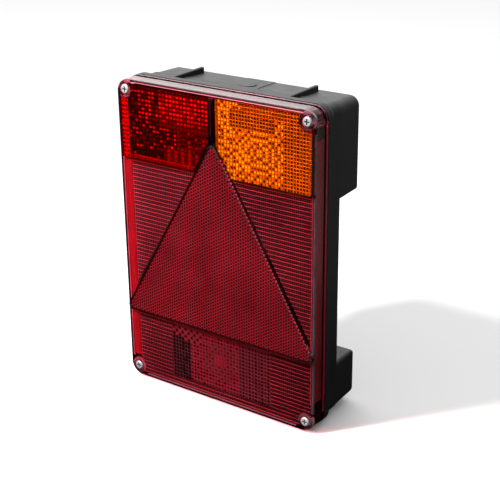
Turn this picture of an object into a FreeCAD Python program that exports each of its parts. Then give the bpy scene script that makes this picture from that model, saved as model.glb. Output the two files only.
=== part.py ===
"""Trailer rear lamp: a red and amber lens over a black base with three bayonet bulbs.

Frame, in millimetres: the origin is the middle of the shallow mounting face, half way
between the two studs.  +X is to the right seen from in front, +Z is up and +Y points
back into the trailer.  A "height" below is the distance in front of the mounting face,
so a height of 36 is the lens face at Y = -36, and a negative height is behind it.
"""
import FreeCAD, Part
import Sketcher

import math
import os
import re

from FreeCAD import Placement, Rotation, Vector

# --------------------------------------------------------------------------- sizes
SIZES = {
    # the whole lamp, seen from in front
    "mid_height": 15.0,          # Z of the middle of the lens
    "rim_width": 172.0,
    "rim_height": 241.6,
    "rim_corner": 11.0,
    # heights of the main levels in front of the mounting face
    "face": 36.0,                # front of the lens
    "plate_back": 33.4,          # back of the lens plate
    "shadow_front": 24.6,        # dark groove round the lens
    "lip_front": 22.5,
    "lens_seat": 20.2,           # back of the lens lip
    "rim_front": 20.1,
    "rim_back": 14.7,
    "flare_back": 9.7,
    "floor_front": 2.5,          # inside of the shallow tray
    "box_depth": 26.0,           # how far the two boxes stand behind the mounting face
    "wall": 2.5,
    # base
    "tray_width": 166.0,
    "tray_height": 236.0,
    "tray_corner": 7.5,
    "box_draft": 2.0,            # degrees
    "upper_box_bottom": 63.0,
    "upper_box_top": 132.5,
    "lower_box_bottom": -102.5,
    "lower_box_top": -63.0,
    "box_outer_corner": 8.0,     # at the top and bottom of the lamp
    "box_inner_corner": 3.2,     # beside the shallow tray
    "box_edge": 1.2,
    "top_rib_x": 50.0,
    "top_rib_thick": 3.0,
    "top_rib_back": 21.0,
    "rib_edge": 0.5,
    "strip_left": -12.0,         # low raised strip across the top of the upper box
    "strip_right": 14.0,
    "strip_raise": 0.35,
    "pad_x": 2.0,                # round pad on the strip
    "pad_y": 6.0,
    "pad_radius": 6.5,
    "pad_raise": 0.3,
    "divider_thick": 2.5,
    "divider_front": 30.0,
    "divider_bottom": 71.0,
    "divider_gap_half": 3.0,     # passage for the wiring in the divider
    "divider_gap_front": 4.0,
    "box_side_inset": 0.5,       # extra wall that makes up for the draft
    # gasket groove in the rim
    "groove_half_width": 81.6,   # inner edge of the groove
    "groove_half_height": 116.4,
    "groove_wide": 2.2,
    "groove_deep": 2.0,
    "groove_corner": 4.0,
    # lens
    "lens_width": 170.4,
    "lens_height": 240.0,
    "lens_corner": 10.0,
    "lens_wall": 2.6,
    "lens_edge": 2.0,
    "lip_out": 0.5,              # the lip stands out this far round the lens skirt
    "shadow_deep": 1.0,
    # screws
    "screw_x": 78.1,
    "screw_dz": 112.3,           # from the middle of the lens
    "screw_shank": 1.95,
    "screw_head": 3.95,
    "screw_head_high": 2.5,
    "screw_seat": 33.0,
    "screw_end": 3.0,
    "screw_point": 0.6,
    "screw_taper": 1.5,
    "screw_edge": 1.2,
    "recess_reach": 2.1,
    "recess_half": 0.5,
    "recess_deep": 1.5,
    "base_boss": 3.4,
    "base_boss_below": 10.0,     # how far it goes down behind the mounting face
    "base_boss_hole": 2.05,
    "base_boss_bottom": 0.0,
    "pillar": 5.9,
    "pillar_hole": 2.3,
    "counterbore": 4.7,
    "pillar_back": 20.4,
    # windows
    "window_out": 82.4,          # outer edge, from the centre line
    "window_top": 132.4,
    "window_in": 2.7,
    "window_bottom": 76.0,
    "window_cut_x": 17.0,        # where the slanted cut beside the triangle starts
    "window_cut_z": 99.8,        # and where it ends
    "window_notch": 6.3,         # clears the screw pillar
    # reflex triangle
    "tri_side": 175.0,
    "tri_bottom": -49.0,
    "tri_corner": 4.5,
    "tri_raise": 1.2,
    "tri_bevel": 1.1,
    "backing_side": 160.0,
    "backing_thick": 2.0,
    "backing_floor": 1.0,
    "backing_lip": 1.5,
    # studs and cable entry
    "stud_x": 55.0,
    "stud_radius": 3.0,
    "stud_length": 20.0,
    "stud_tip": 0.5,
    "stud_neck": 3.5,
    "stud_head": 6.0,
    "stud_head_high": 2.0,
    "stud_boss": 8.5,
    "entry_x": 38.0,
    "entry_z": -24.0,
    "entry_bore": 4.0,
    "entry_groove": 5.5,
    "entry_lip": 6.4,            # outer lip, sunk into the back of the tray
    "entry_lip_back": 0.2,
    "entry_lip_front": 1.2,
    "entry_flange": 7.5,
    "entry_flange_thick": 1.5,
    # bulbs and their bayonet sockets; heights on the bulb's own axis
    "upper_bulb_x": 40.8,
    "upper_bulb_z": 101.3,
    "lower_bulb_z": -84.0,
    "cap_radius": 7.5,
    "cap_bottom": -16.2,
    "cap_top": -1.0,
    "nib_radius": 2.0,
    "nib_bottom": -17.0,
    "pin_radius": 1.0,
    "pin_reach": 8.6,
    "pin_height": -10.5,
    "glass_radius": 12.8,
    "glass_neck": 6.4,
    "glass_middle": 17.9,
    "glass_wall": 0.8,
    "filament_height": 21.3,
    "filament_step": 4.0,        # to the second coil of the stop and tail bulb
    "filament_half": 3.2,
    "coil_half": 0.45,
    "lead_x": 3.0,
    "lead_half": 0.3,
    "stem_radius": 2.6,
    "shell_inside": 7.7,
    "shell_outside": 8.3,
    "shell_bottom": -23.5,
    "shell_top": -6.5,
    "shell_flange": 12.0,
    "shell_flange_thick": 1.0,
    "slot_bottom": -13.7,
    "slot_top": -9.4,
    "slot_start": -9.0,          # degrees, anticlockwise from +X seen from in front
    "slot_end": 34.0,
    "slot_entry": 16.0,
    "plunger_radius": 7.45,
    "plunger_top": -17.05,
    "plunger_thick": 2.3,
    "plunger_foot": 0.6,
    "plunger_foot_radius": 3.8,
    "contact_high": 0.3,
    "contact_radius": 2.6,
    "spring_radius": 5.2,
    "spring_wire": 0.3,
    "spring_turns": 3.0,
    # reflectors: a parabola through the filament, cut to a rectangle
    "focal_length": 24.0,
    "dish_bottom": -3.0,
    "dish_wall": 1.5,
    "dish_front": 30.6,
    "dish_hole": 9.3,
    "dish_reach": 60.0,          # radius at which the parabola is cut off
    "dish_gap": 0.6,             # kept free round a lens pillar
    "upper_dish_width": 78.0,
    "upper_dish_height": 56.4,
    "lower_dish_width": 92.0,
    "lower_dish_height": 31.0,
    "shelf_height": 47.0,        # the stop lamp's reflector is taller in front of the tray
    "shelf_back": 4.8,
    "shelf_step": 0.5,
    "leg_x": 24.0,
    "leg_z": 11.0,
    "leg_radius": 2.5,
    # wiring
    "busbar": 1.6,
    "block_width": 54.0,
    "block_high": 14.0,
    "block_middle": 20.0,        # Z of the terminal block's middle
    "block_front": 16.0,
    "terminal_pitch": 10.0,
    "terminal_hole": 2.3,
    "terminal_screw": 2.0,
    "terminal_screw_long": 5.0,
}

doc = FreeCAD.newDocument("rear_lamp")
sheet = doc.addObject("Spreadsheet::Sheet", "Sizes")
for row, (alias, number) in enumerate(SIZES.items(), start=1):
    sheet.set("A%d" % row, alias)
    sheet.set("B%d" % row, str(number))
    sheet.setAlias("B%d" % row, alias)
doc.recompute()

sub_parts = []


# ------------------------------------------------------------------ small helpers
def sized(text):
    """Turn 'lens_width / 2' into an expression that reads the spreadsheet."""
    return re.sub(r"[a-z_]\w*", lambda word: "Sizes." + word[0] if word[0] in SIZES else word[0], text)


def size_of(text):
    """The present value of an expression."""
    return float(sheet.evalExpression(sized(text)))


def bind(thing, prop, text):
    thing.setExpression(prop, sized(text))


def finished(thing, x="0", z="0"):
    """Enter a sub-part in the list, standing at x, z on the lamp."""
    bind(thing, "Placement.Base.x", x)
    bind(thing, "Placement.Base.z", z)
    sub_parts.append(thing)
    return thing


# ------------------------------------------------------------------------ sketches
def new_body(label):
    body = doc.addObject("PartDesign::Body", label)
    body.Label = label
    return body


def sketch_on(body, role, offset="0"):
    """A sketch on one of the body's own origin planes, moved along its normal."""
    plane = next(item for item in body.Origin.OriginFeatures if item.Role == role)
    sketch = body.newObject("Sketcher::SketchObject", body.Label + "_sketch")
    sketch.AttachmentSupport = [(plane, "")]
    sketch.MapMode = "FlatFace"
    bind(sketch, "AttachmentOffset.Base.z", offset)
    return sketch


def front_sketch(body, height):
    """A sketch parallel to the lens face, with X to the right and Z up."""
    return sketch_on(body, "XZ_Plane", height)


def bound_constraint(sketch, text, *arguments):
    index = sketch.addConstraint(Sketcher.Constraint(*arguments, size_of(text)))
    sketch.setExpression("Constraints[%d]" % index, sized(text))


def locate(sketch, geometry, point, across, up):
    """Hold a point of the sketch at two expressions, measured from its origin."""
    bound_constraint(sketch, across, "DistanceX", -1, 1, geometry, point)
    bound_constraint(sketch, up, "DistanceY", -1, 1, geometry, point)


def circle(sketch, across, up, radius):
    middle = Vector(size_of(across), size_of(up), 0)
    index = sketch.addGeometry(Part.Circle(middle, Vector(0, 0, 1), size_of(radius)))
    locate(sketch, index, 3, across, up)
    bound_constraint(sketch, radius, "Radius", index)
    return index


def polygon(sketch, corners):
    """Straight lines through the corners, each corner held by two expressions."""
    points = [Vector(size_of(across), size_of(up), 0) for across, up in corners]
    first = None
    for number, start in enumerate(points):
        end = points[(number + 1) % len(points)]
        index = sketch.addGeometry(Part.LineSegment(start, end))
        first = index if first is None else first
        locate(sketch, index, 1, *corners[number])
        if index > first:
            sketch.addConstraint(Sketcher.Constraint("Coincident", index - 1, 2, index, 1))
    sketch.addConstraint(Sketcher.Constraint("Coincident", index, 2, first, 1))


def band(sketch, centres, radii):
    """The outline of a belt round circles, listed anticlockwise."""
    spots = [Vector(size_of(across), size_of(up), 0) for across, up in centres]
    reach = [size_of(radius) for radius in radii]
    count = len(spots)
    outward = []
    for number, spot in enumerate(spots):
        along = spots[(number + 1) % count] - spot
        lean = math.asin((reach[number] - reach[(number + 1) % count]) / along.Length)
        along.normalize()
        square = Vector(along.y, -along.x, 0)
        outward.append(square * math.cos(lean) + along * math.sin(lean))
    arcs, lines = [], []
    for number, spot in enumerate(spots):
        before, after = outward[number - 1], outward[number]
        start = math.atan2(before.y, before.x)
        turn = (math.atan2(after.y, after.x) - start) % (2 * math.pi)
        whole = Part.Circle(spot, Vector(0, 0, 1), reach[number])
        arcs.append(sketch.addGeometry(Part.ArcOfCircle(whole, start, start + turn)))
        following = (number + 1) % count
        line = Part.LineSegment(spot + after * reach[number], spots[following] + after * reach[following])
        lines.append(sketch.addGeometry(line))
    for number in range(count):
        following = arcs[(number + 1) % count]
        sketch.addConstraint(Sketcher.Constraint("Tangent", arcs[number], 2, lines[number], 1))
        sketch.addConstraint(Sketcher.Constraint("Tangent", lines[number], 2, following, 1))
        locate(sketch, arcs[number], 3, *centres[number])
        bound_constraint(sketch, radii[number], "Radius", arcs[number])


def rectangle(sketch, left, right, bottom, top, low_corner=None, high_corner=None):
    """An upright rectangle, with round lower and upper corners if radii are given."""
    if low_corner is None:
        polygon(sketch, [(left, bottom), (right, bottom), (right, top), (left, top)])
        return
    high_corner = high_corner or low_corner
    centres = [("%s + (%s)" % (left, low_corner), "%s + (%s)" % (bottom, low_corner)),
               ("%s - (%s)" % (right, low_corner), "%s + (%s)" % (bottom, low_corner)),
               ("%s - (%s)" % (right, high_corner), "%s - (%s)" % (top, high_corner)),
               ("%s + (%s)" % (left, high_corner), "%s - (%s)" % (top, high_corner))]
    band(sketch, centres, [low_corner, low_corner, high_corner, high_corner])


def framed(sketch, width, height, corner):
    """A round-cornered rectangle about the middle of the lamp."""
    rectangle(sketch, "-(%s) / 2" % width, "(%s) / 2" % width, "mid_height - (%s) / 2" % height,
              "mid_height + (%s) / 2" % height, corner)


def triangle(sketch, side, bottom, corner):
    """An equilateral triangle with one side down and round corners."""
    reach = "(%s) / 2 - sqrt(3) * (%s)" % (side, corner)
    peak = "%s + sqrt(3) / 2 * (%s) - 2 * (%s)" % (bottom, side, corner)
    low = "%s + %s" % (bottom, corner)
    band(sketch, [("-(%s)" % reach, low), (reach, low), ("0", peak)], [corner] * 3)


# ------------------------------------------------------------------------ features
def pad(body, sketch, length, back=False, taper=None):
    """Grow the sketch to the front, or to the back."""
    feature = body.newObject("PartDesign::Pad", body.Label + "_pad")
    feature.Profile = sketch
    bind(feature, "Length", length)
    feature.Reversed = back
    if taper is not None:
        bind(feature, "TaperAngle", taper)
    doc.recompute()
    return feature


def pocket(body, sketch, depth, front=False):
    """Cut the sketch away to the back, or to the front, and see that it took something."""
    before = body.Shape.Volume
    feature = body.newObject("PartDesign::Pocket", body.Label + "_pocket")
    feature.Profile = sketch
    bind(feature, "Length", depth)
    feature.Reversed = front
    doc.recompute()
    if body.Shape.Volume > before - 0.01:
        raise RuntimeError("a pocket in %s cuts nothing" % body.Label)
    return feature


def dressed(body, kind, prop, amount, wanted):
    """Round or bevel the edges of the body that the test picks out."""
    base = body.Tip
    names = ["Edge%d" % (number + 1) for number, edge in enumerate(base.Shape.Edges) if wanted(edge)]
    feature = body.newObject("PartDesign::" + kind, "%s_%s" % (body.Label, kind.lower()))
    feature.Base = (base, names)
    bind(feature, prop, amount)
    doc.recompute()
    return feature


def edge_at_height(height):
    """A test for edges that lie wholly at one height in front of the mounting face."""
    level = -size_of(height)
    return lambda edge: all(abs(vertex.Y - level) < 1e-4 for vertex in edge.Vertexes)


def revolved(label, profile):
    """A body turned about the Y axis from (radius, height) corners."""
    body = new_body(label)
    sketch = sketch_on(body, "XY_Plane")
    polygon(sketch, [(radius, "-(%s)" % height) for radius, height in profile])
    feature = body.newObject("PartDesign::Revolution", label + "_revolution")
    feature.Profile = sketch
    feature.ReferenceAxis = (sketch, ["V_Axis"])
    feature.Angle = 360
    doc.recompute()
    return body


FACING_FRONT = Rotation(Vector(1, 0, 0), 90)


def post(name, radius, low, high, x="0", z="0", start="0", sweep="360"):
    """A Part cylinder from one height to another, or a slice of one."""
    cylinder = doc.addObject("Part::Cylinder", name)
    turn = Rotation(Vector(0, 0, 1), size_of(start))
    cylinder.Placement = Placement(Vector(0, 0, 0), FACING_FRONT.multiply(turn))
    bind(cylinder, "Radius", radius)
    bind(cylinder, "Height", "(%s) - (%s)" % (high, low))
    bind(cylinder, "Angle", sweep)
    bind(cylinder, "Placement.Base.x", x)
    bind(cylinder, "Placement.Base.y", "-(%s)" % low)
    bind(cylinder, "Placement.Base.z", z)
    return cylinder


def block(name, left, right, low, high, bottom, top):
    """A Part box between two places across, two heights and two levels of Z."""
    box = doc.addObject("Part::Box", name)
    bind(box, "Length", "(%s) - (%s)" % (right, left))
    bind(box, "Width", "(%s) - (%s)" % (high, low))
    bind(box, "Height", "(%s) - (%s)" % (top, bottom))
    bind(box, "Placement.Base.x", left)
    bind(box, "Placement.Base.y", "-(%s)" % high)
    bind(box, "Placement.Base.z", bottom)
    return box


def joined(name, pieces):
    fusion = doc.addObject("Part::MultiFuse", name)
    fusion.Shapes = pieces
    fusion.Label = name
    return fusion


def less(name, base, tool):
    cut = doc.addObject("Part::Cut", name)
    cut.Base = base
    cut.Tool = tool
    cut.Label = name
    return cut


def shared(name, first, second):
    common = doc.addObject("Part::MultiCommon", name)
    common.Shapes = [first, second]
    return common


CORNERS = [("-screw_x", "mid_height + screw_dz"), ("screw_x", "mid_height + screw_dz"),
           ("-screw_x", "mid_height - screw_dz"), ("screw_x", "mid_height - screw_dz")]


# -------------------------------------------------------------------------- base
def make_base_housing():
    """Shallow tray with a deep box at the top and another at the bottom."""
    body = new_body("base_housing")

    rim = front_sketch(body, "rim_back")
    framed(rim, "rim_width", "rim_height", "rim_corner")
    pad(body, rim, "rim_front - rim_back")

    flare = front_sketch(body, "rim_back")
    framed(flare, "rim_width", "rim_height", "rim_corner")
    inset = "(rim_width - tray_width) / 2"
    pad(body, flare, "rim_back - flare_back", back=True,
        taper="-atan(%s / (rim_back - flare_back))" % inset)

    # the flare stays only beside the two boxes
    for side in ("", "-"):
        gap = front_sketch(body, "rim_back")
        edge = "%stray_width / 2" % side
        past = "%s(rim_width / 2 + 1)" % side
        low, high = "lower_box_top", "upper_box_bottom"
        slant = "(rim_back - flare_back)"
        corners = [(edge, "%s + %s" % (low, slant)), (past, "%s + 2 * %s" % (low, slant)),
                   (past, "%s - 2 * %s" % (high, slant)), (edge, "%s - %s" % (high, slant))]
        polygon(gap, corners if side == "" else corners[::-1])
        pocket(body, gap, "rim_back - flare_back + 1")

    tray = front_sketch(body, "0")
    framed(tray, "tray_width", "tray_height", "tray_corner")
    pad(body, tray, "rim_back")

    boxes = (("upper_box_bottom", "upper_box_top", "box_inner_corner", "box_outer_corner"),
             ("lower_box_bottom", "lower_box_top", "box_outer_corner", "box_inner_corner"))
    for bottom, top, low_corner, high_corner in boxes:
        box = front_sketch(body, "0")
        rectangle(box, "-tray_width / 2", "tray_width / 2", bottom, top, low_corner, high_corner)
        pad(body, box, "box_depth", back=True, taper="-box_draft")
    dressed(body, "Fillet", "Radius", "box_edge", edge_at_height("-box_depth"))

    ribs = front_sketch(body, "rim_back")
    for side in ("-", ""):
        middle = "%stop_rib_x" % side
        rectangle(ribs, middle + " - top_rib_thick / 2", middle + " + top_rib_thick / 2",
                  "upper_box_top - 1", "mid_height + rim_height / 2")
    pad(body, ribs, "rim_back + top_rib_back", back=True)
    rib_top = size_of("mid_height + rim_height / 2")
    dressed(body, "Chamfer", "Size", "rib_edge", lambda edge: all(
        abs(vertex.Z - rib_top) < 1e-4 and vertex.Y > -size_of("rim_back") - 1e-4
        for vertex in edge.Vertexes) and edge.BoundBox.YLength > size_of("rim_back"))

    strip = front_sketch(body, "0")
    rectangle(strip, "strip_left", "strip_right", "upper_box_top - 2", "upper_box_top + strip_raise")
    pad(body, strip, "box_depth - box_edge", back=True, taper="-box_draft")
    disc = sketch_on(body, "XY_Plane", "upper_box_top - 1")
    circle(disc, "pad_x", "pad_y", "pad_radius")
    pad(body, disc, "1 + strip_raise + pad_raise")

    cavity = front_sketch(body, "rim_front")
    framed(cavity, "tray_width - 2 * wall", "tray_height - 2 * wall", "tray_corner - wall")
    pocket(body, cavity, "rim_front - floor_front")
    for bottom, top, low_corner, high_corner in boxes:
        inside = front_sketch(body, "floor_front")
        half = "tray_width / 2 - wall - box_side_inset"
        rectangle(inside, "-(%s)" % half, half, bottom + " + wall", top + " - wall",
                  low_corner + " - wall", high_corner + " - wall")
        pocket(body, inside, "floor_front + box_depth - wall")

    bosses = front_sketch(body, "rim_front")
    for across, up in CORNERS:
        circle(bosses, across, up, "base_boss")
    pad(body, bosses, "rim_front + base_boss_below", back=True)
    holes = front_sketch(body, "rim_front")
    for across, up in CORNERS:
        circle(holes, across, up, "base_boss_hole")
    pocket(body, holes, "rim_front - base_boss_bottom")

    divider = front_sketch(body, "divider_front")
    rectangle(divider, "-divider_thick / 2", "divider_thick / 2", "divider_bottom",
              "upper_box_top - wall + 0.5")
    pad(body, divider, "divider_front + box_depth - wall + 0.5", back=True)
    passage = front_sketch(body, "-box_depth + wall + divider_gap_front")
    rectangle(passage, "-divider_thick", "divider_thick", "upper_bulb_z - divider_gap_half",
              "upper_bulb_z + divider_gap_half")
    pocket(body, passage, "divider_gap_front")

    seats = front_sketch(body, "floor_front")
    for side in ("-", ""):
        circle(seats, side + "stud_x", "0", "stud_boss")
    pad(body, seats, "stud_head_high")
    heads = front_sketch(body, "floor_front + stud_head_high")
    for side in ("-", ""):
        circle(heads, side + "stud_x", "0", "stud_head + 0.2")
    pocket(body, heads, "stud_head_high")
    necks = front_sketch(body, "floor_front")
    for side in ("-", ""):
        circle(necks, side + "stud_x", "0", "stud_neck")
    pocket(body, necks, "floor_front")

    groove = front_sketch(body, "rim_front")
    framed(groove, "2 * (groove_half_width + groove_wide)", "2 * (groove_half_height + groove_wide)",
           "groove_corner + groove_wide")
    framed(groove, "2 * groove_half_width", "2 * groove_half_height", "groove_corner")
    pocket(body, groove, "groove_deep")

    # the cable's way in, with a step on the back for the grommet's lip
    for radius, depth in (("entry_groove", "floor_front + 1"), ("entry_lip", "entry_lip_front + 1")):
        entry = front_sketch(body, "-1")
        circle(entry, "entry_x", "entry_z", radius)
        pocket(body, entry, depth, front=True)
    finished(body)


def make_gasket():
    body = new_body("lens_gasket")
    ring = front_sketch(body, "rim_front - groove_deep")
    framed(ring, "2 * (groove_half_width + groove_wide)", "2 * (groove_half_height + groove_wide)",
           "groove_corner + groove_wide")
    framed(ring, "2 * groove_half_width", "2 * groove_half_height", "groove_corner")
    pad(body, ring, "groove_deep")
    finished(body)


def make_studs():
    """Two round-headed studs whose threaded ends stand out behind the base."""
    head_top = "floor_front + stud_head_high"
    profile = [("0", head_top), ("stud_head", head_top), ("stud_head", "floor_front"),
               ("stud_neck", "floor_front"), ("stud_neck", "0"), ("stud_radius", "0"),
               ("stud_radius", "-stud_length"), ("stud_radius - stud_tip", "-stud_length - stud_tip"),
               ("0", "-stud_length - stud_tip")]
    for label, side in (("left_stud", "-"), ("right_stud", "")):
        finished(revolved(label, profile), x=side + "stud_x")


def make_grommet():
    """Rubber sleeve that the cable is pushed through, in the floor of the tray."""
    inner = "floor_front + entry_flange_thick"
    profile = [("entry_bore", "entry_lip_back"), ("entry_lip", "entry_lip_back"),
               ("entry_lip", "entry_lip_front"), ("entry_groove", "entry_lip_front"),
               ("entry_groove", "floor_front"), ("entry_flange", "floor_front"),
               ("entry_flange", inner), ("entry_bore", inner)]
    finished(revolved("cable_grommet", profile), x="entry_x", z="entry_z")


# -------------------------------------------------------------------------- lens
def window_outline(sketch, side):
    """One upper window: notched round its screw and cut slantwise beside the triangle."""
    sign = "-" if side < 0 else ""
    top, bottom = "window_top", "window_bottom"
    corners = [(sign + "window_out", bottom), (sign + "window_cut_x", bottom),
               (sign + "window_in", "window_cut_z"), (sign + "window_in", top)]
    points = [Vector(size_of(across), size_of(up), 0) for across, up in corners]
    screw = Vector(side * size_of("screw_x"), size_of("mid_height + screw_dz"), 0)
    reach = size_of("window_notch")
    rise = size_of(top) - screw.y
    out = size_of("window_out") - abs(screw.x)
    upper_end = Vector(screw.x - side * math.sqrt(reach ** 2 - rise ** 2), size_of(top), 0)
    lower_end = Vector(side * size_of("window_out"), screw.y - math.sqrt(reach ** 2 - out ** 2), 0)
    lines = []
    for start, end in ((points[0], points[1]), (points[1], points[2]), (points[2], points[3]),
                       (points[3], upper_end), (lower_end, points[0])):
        lines.append(sketch.addGeometry(Part.LineSegment(start, end)))
    angles = [math.atan2(end.y - screw.y, end.x - screw.x) for end in (upper_end, lower_end)]
    first, last = angles if side > 0 else angles[::-1]
    arc = sketch.addGeometry(Part.ArcOfCircle(Part.Circle(screw, Vector(0, 0, 1), reach), first, last))
    for number in range(3):
        sketch.addConstraint(Sketcher.Constraint("Coincident", lines[number], 2, lines[number + 1], 1))
    sketch.addConstraint(Sketcher.Constraint("Coincident", lines[4], 2, lines[0], 1))
    for line, point, end in ((lines[3], 2, upper_end), (lines[4], 1, lower_end)):
        arc_start = sketch.Geometry[arc].StartPoint
        arc_point = 1 if (arc_start - end).Length < 1e-6 else 2
        sketch.addConstraint(Sketcher.Constraint("Coincident", line, point, arc, arc_point))
    for line, place in zip(lines, corners):
        locate(sketch, line, 1, *place)
    sketch.addConstraint(Sketcher.Constraint("Horizontal", lines[3]))
    sketch.addConstraint(Sketcher.Constraint("Vertical", lines[4]))
    locate(sketch, arc, 3, sign + "screw_x", "mid_height + screw_dz")
    bound_constraint(sketch, "window_notch", "Radius", arc)


def make_lens_shell():
    """The red moulding: front plate, skirt, lip, screw pillars and three openings."""
    body = new_body("lens_shell")
    skirt = front_sketch(body, "lens_seat")
    framed(skirt, "lens_width", "lens_height", "lens_corner")
    pad(body, skirt, "face - lens_seat")
    dressed(body, "Fillet", "Radius", "lens_edge", edge_at_height("face"))

    lip = front_sketch(body, "lens_seat")
    framed(lip, "lens_width + 2 * lip_out", "lens_height + 2 * lip_out", "lens_corner + lip_out")
    pad(body, lip, "lip_front - lens_seat")
    shadow = front_sketch(body, "shadow_front")
    framed(shadow, "lens_width + 4", "lens_height + 4", "lens_corner + 2")
    framed(shadow, "lens_width - 2 * shadow_deep", "lens_height - 2 * shadow_deep",
           "lens_corner - shadow_deep")
    pocket(body, shadow, "shadow_front - lip_front")

    inside = front_sketch(body, "lens_seat")
    framed(inside, "lens_width - 2 * lens_wall", "lens_height - 2 * lens_wall", "lens_corner - lens_wall")
    pocket(body, inside, "plate_back - lens_seat", front=True)

    pillars = front_sketch(body, "pillar_back")
    for across, up in CORNERS:
        circle(pillars, across, up, "pillar")
    pad(body, pillars, "screw_seat + 1 - pillar_back")
    for radius, height, depth in (("counterbore", "face + 1", "face + 1 - screw_seat"),
                                  ("pillar_hole", "face", "face - pillar_back + 1")):
        holes = front_sketch(body, height)
        for across, up in CORNERS:
            circle(holes, across, up, radius)
        pocket(body, holes, depth)

    for side in (-1, 1):
        window = front_sketch(body, "face + 1")
        window_outline(window, side)
        pocket(body, window, "face + 1 - plate_back")
    reflex = front_sketch(body, "face + 1")
    triangle(reflex, "tri_side", "tri_bottom", "tri_corner")
    pocket(body, reflex, "face + 1 - plate_back")
    finished(body)


def make_windows():
    for label, side in (("fog_window", -1), ("indicator_window", 1)):
        body = new_body(label)
        sketch = front_sketch(body, "plate_back")
        window_outline(sketch, side)
        pad(body, sketch, "face - plate_back")
        finished(body)


def make_reflex():
    """The triangular reflector stands a little proud of the lens and is sealed behind."""
    body = new_body("reflex_triangle")
    sketch = front_sketch(body, "plate_back")
    triangle(sketch, "tri_side", "tri_bottom", "tri_corner")
    pad(body, sketch, "face + tri_raise - plate_back")
    dressed(body, "Chamfer", "Size", "tri_bevel", edge_at_height("face + tri_raise"))
    finished(body)

    inset = "(tri_side - backing_side) / 2 / sqrt(3)"
    backing = new_body("reflex_backing")
    tray = front_sketch(backing, "plate_back")
    triangle(tray, "backing_side", "tri_bottom + " + inset, "tri_corner")
    pad(backing, tray, "backing_thick", back=True)
    hollow = front_sketch(backing, "plate_back")
    triangle(hollow, "backing_side - 2 * sqrt(3) * backing_lip", "tri_bottom + %s + backing_lip" % inset,
             "tri_corner - backing_lip")
    pocket(backing, hollow, "backing_thick - backing_floor")
    finished(backing)


def make_lens_screws():
    """Pan-head screws with a cross recess; they go through the lens into the base."""
    head_top = "screw_seat + screw_head_high"
    profile = [("0", head_top), ("screw_head - screw_edge", head_top),
               ("screw_head", head_top + " - screw_edge"), ("screw_head", "screw_seat"),
               ("screw_shank", "screw_seat"), ("screw_shank", "screw_end + screw_taper"),
               ("screw_point", "screw_end"), ("0", "screw_end")]
    for number, (across, up) in enumerate(CORNERS, start=1):
        body = revolved("lens_screw_%d" % number, profile)
        cross = front_sketch(body, head_top)
        long, wide = "recess_reach", "recess_half"
        polygon(cross, [("-" + long, "-" + wide), ("-" + wide, "-" + wide), ("-" + wide, "-" + long),
                        (wide, "-" + long), (wide, "-" + wide), (long, "-" + wide), (long, wide),
                        (wide, wide), (wide, long), ("-" + wide, long), ("-" + wide, wide),
                        ("-" + long, wide)])
        pocket(body, cross, "recess_deep")
        finished(body, across, up)


# ------------------------------------------------------------- bulbs and sockets
LAMPS = {"fog": ("-upper_bulb_x", "upper_bulb_z", 1),
         "indicator": ("upper_bulb_x", "upper_bulb_z", 1),
         "stop_tail": ("0", "lower_bulb_z", 2)}


def make_socket(lamp, x, z):
    """Bayonet shell with two L slots, and the flange that holds it down."""
    name = lamp + "_socket"
    outer = joined(name + "_outer", [
        post(name + "_tube", "shell_outside", "shell_bottom", "shell_top"),
        post(name + "_flange", "shell_flange", "shell_bottom", "shell_bottom + shell_flange_thick")])
    bore = post(name + "_bore", "shell_inside", "shell_bottom - 1", "shell_top + 1")
    shell = less(name + "_bored", outer, bore)
    for half in ("0", "180"):
        slot = joined(name + "_l_slot", [
            post(name + "_slot", "shell_outside + 1", "slot_bottom", "slot_top",
                 start="slot_start + " + half, sweep="slot_end - slot_start"),
            post(name + "_entry", "shell_outside + 1", "slot_bottom", "shell_top + 1",
                 start="slot_entry + " + half, sweep="slot_end - slot_entry")])
        shell = less(name + "_slotted", shell, slot)
    shell.Label = name
    finished(shell, x, z)


def make_plunger(lamp, x, z):
    """Insulating disc with its brass contact rivets, pressed up by the spring."""
    name = lamp + "_contact_plunger"
    low = "plunger_top - plunger_thick"
    shoulder = low + " + plunger_foot"
    face = "plunger_top - contact_high"
    profile = [("0", low), ("plunger_foot_radius", low), ("plunger_foot_radius", shoulder),
               ("plunger_radius", shoulder), ("plunger_radius", face), ("contact_radius", face),
               ("contact_radius - contact_high", "plunger_top"), ("0", "plunger_top")]
    finished(revolved(name, profile), x, z)


def make_spring(lamp, x, z):
    """Coil spring of tilted half rings, each starting where the last one stops."""
    name = lamp + "_contact_spring"
    low = "shell_bottom + spring_wire"
    high = "plunger_top - plunger_thick + plunger_foot - spring_wire"
    rise = "((%s) - (%s)) / (2 * spring_turns)" % (high, low)
    tilt = math.degrees(math.asin(size_of(rise) / (2 * size_of("spring_radius"))))
    rings = []
    for number in range(round(2 * size_of("spring_turns"))):
        second = number % 2
        ring = doc.addObject("Part::Torus", name + "_half_ring")
        lean = Rotation(Vector(0, 1, 0), -tilt if second else tilt)
        turn = Rotation(Vector(0, 0, 1), 180 * second)
        ring.Placement = Placement(Vector(0, 0, 0), FACING_FRONT.multiply(lean).multiply(turn))
        bind(ring, "Radius1", "spring_radius")
        bind(ring, "Radius2", "spring_wire")
        ring.Angle3 = 180
        bind(ring, "Placement.Base.y", "-(%s + (%s) * (%d + 0.5))" % (low, rise, number))
        rings.append(ring)
    finished(joined(name, rings), x, z)


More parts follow.
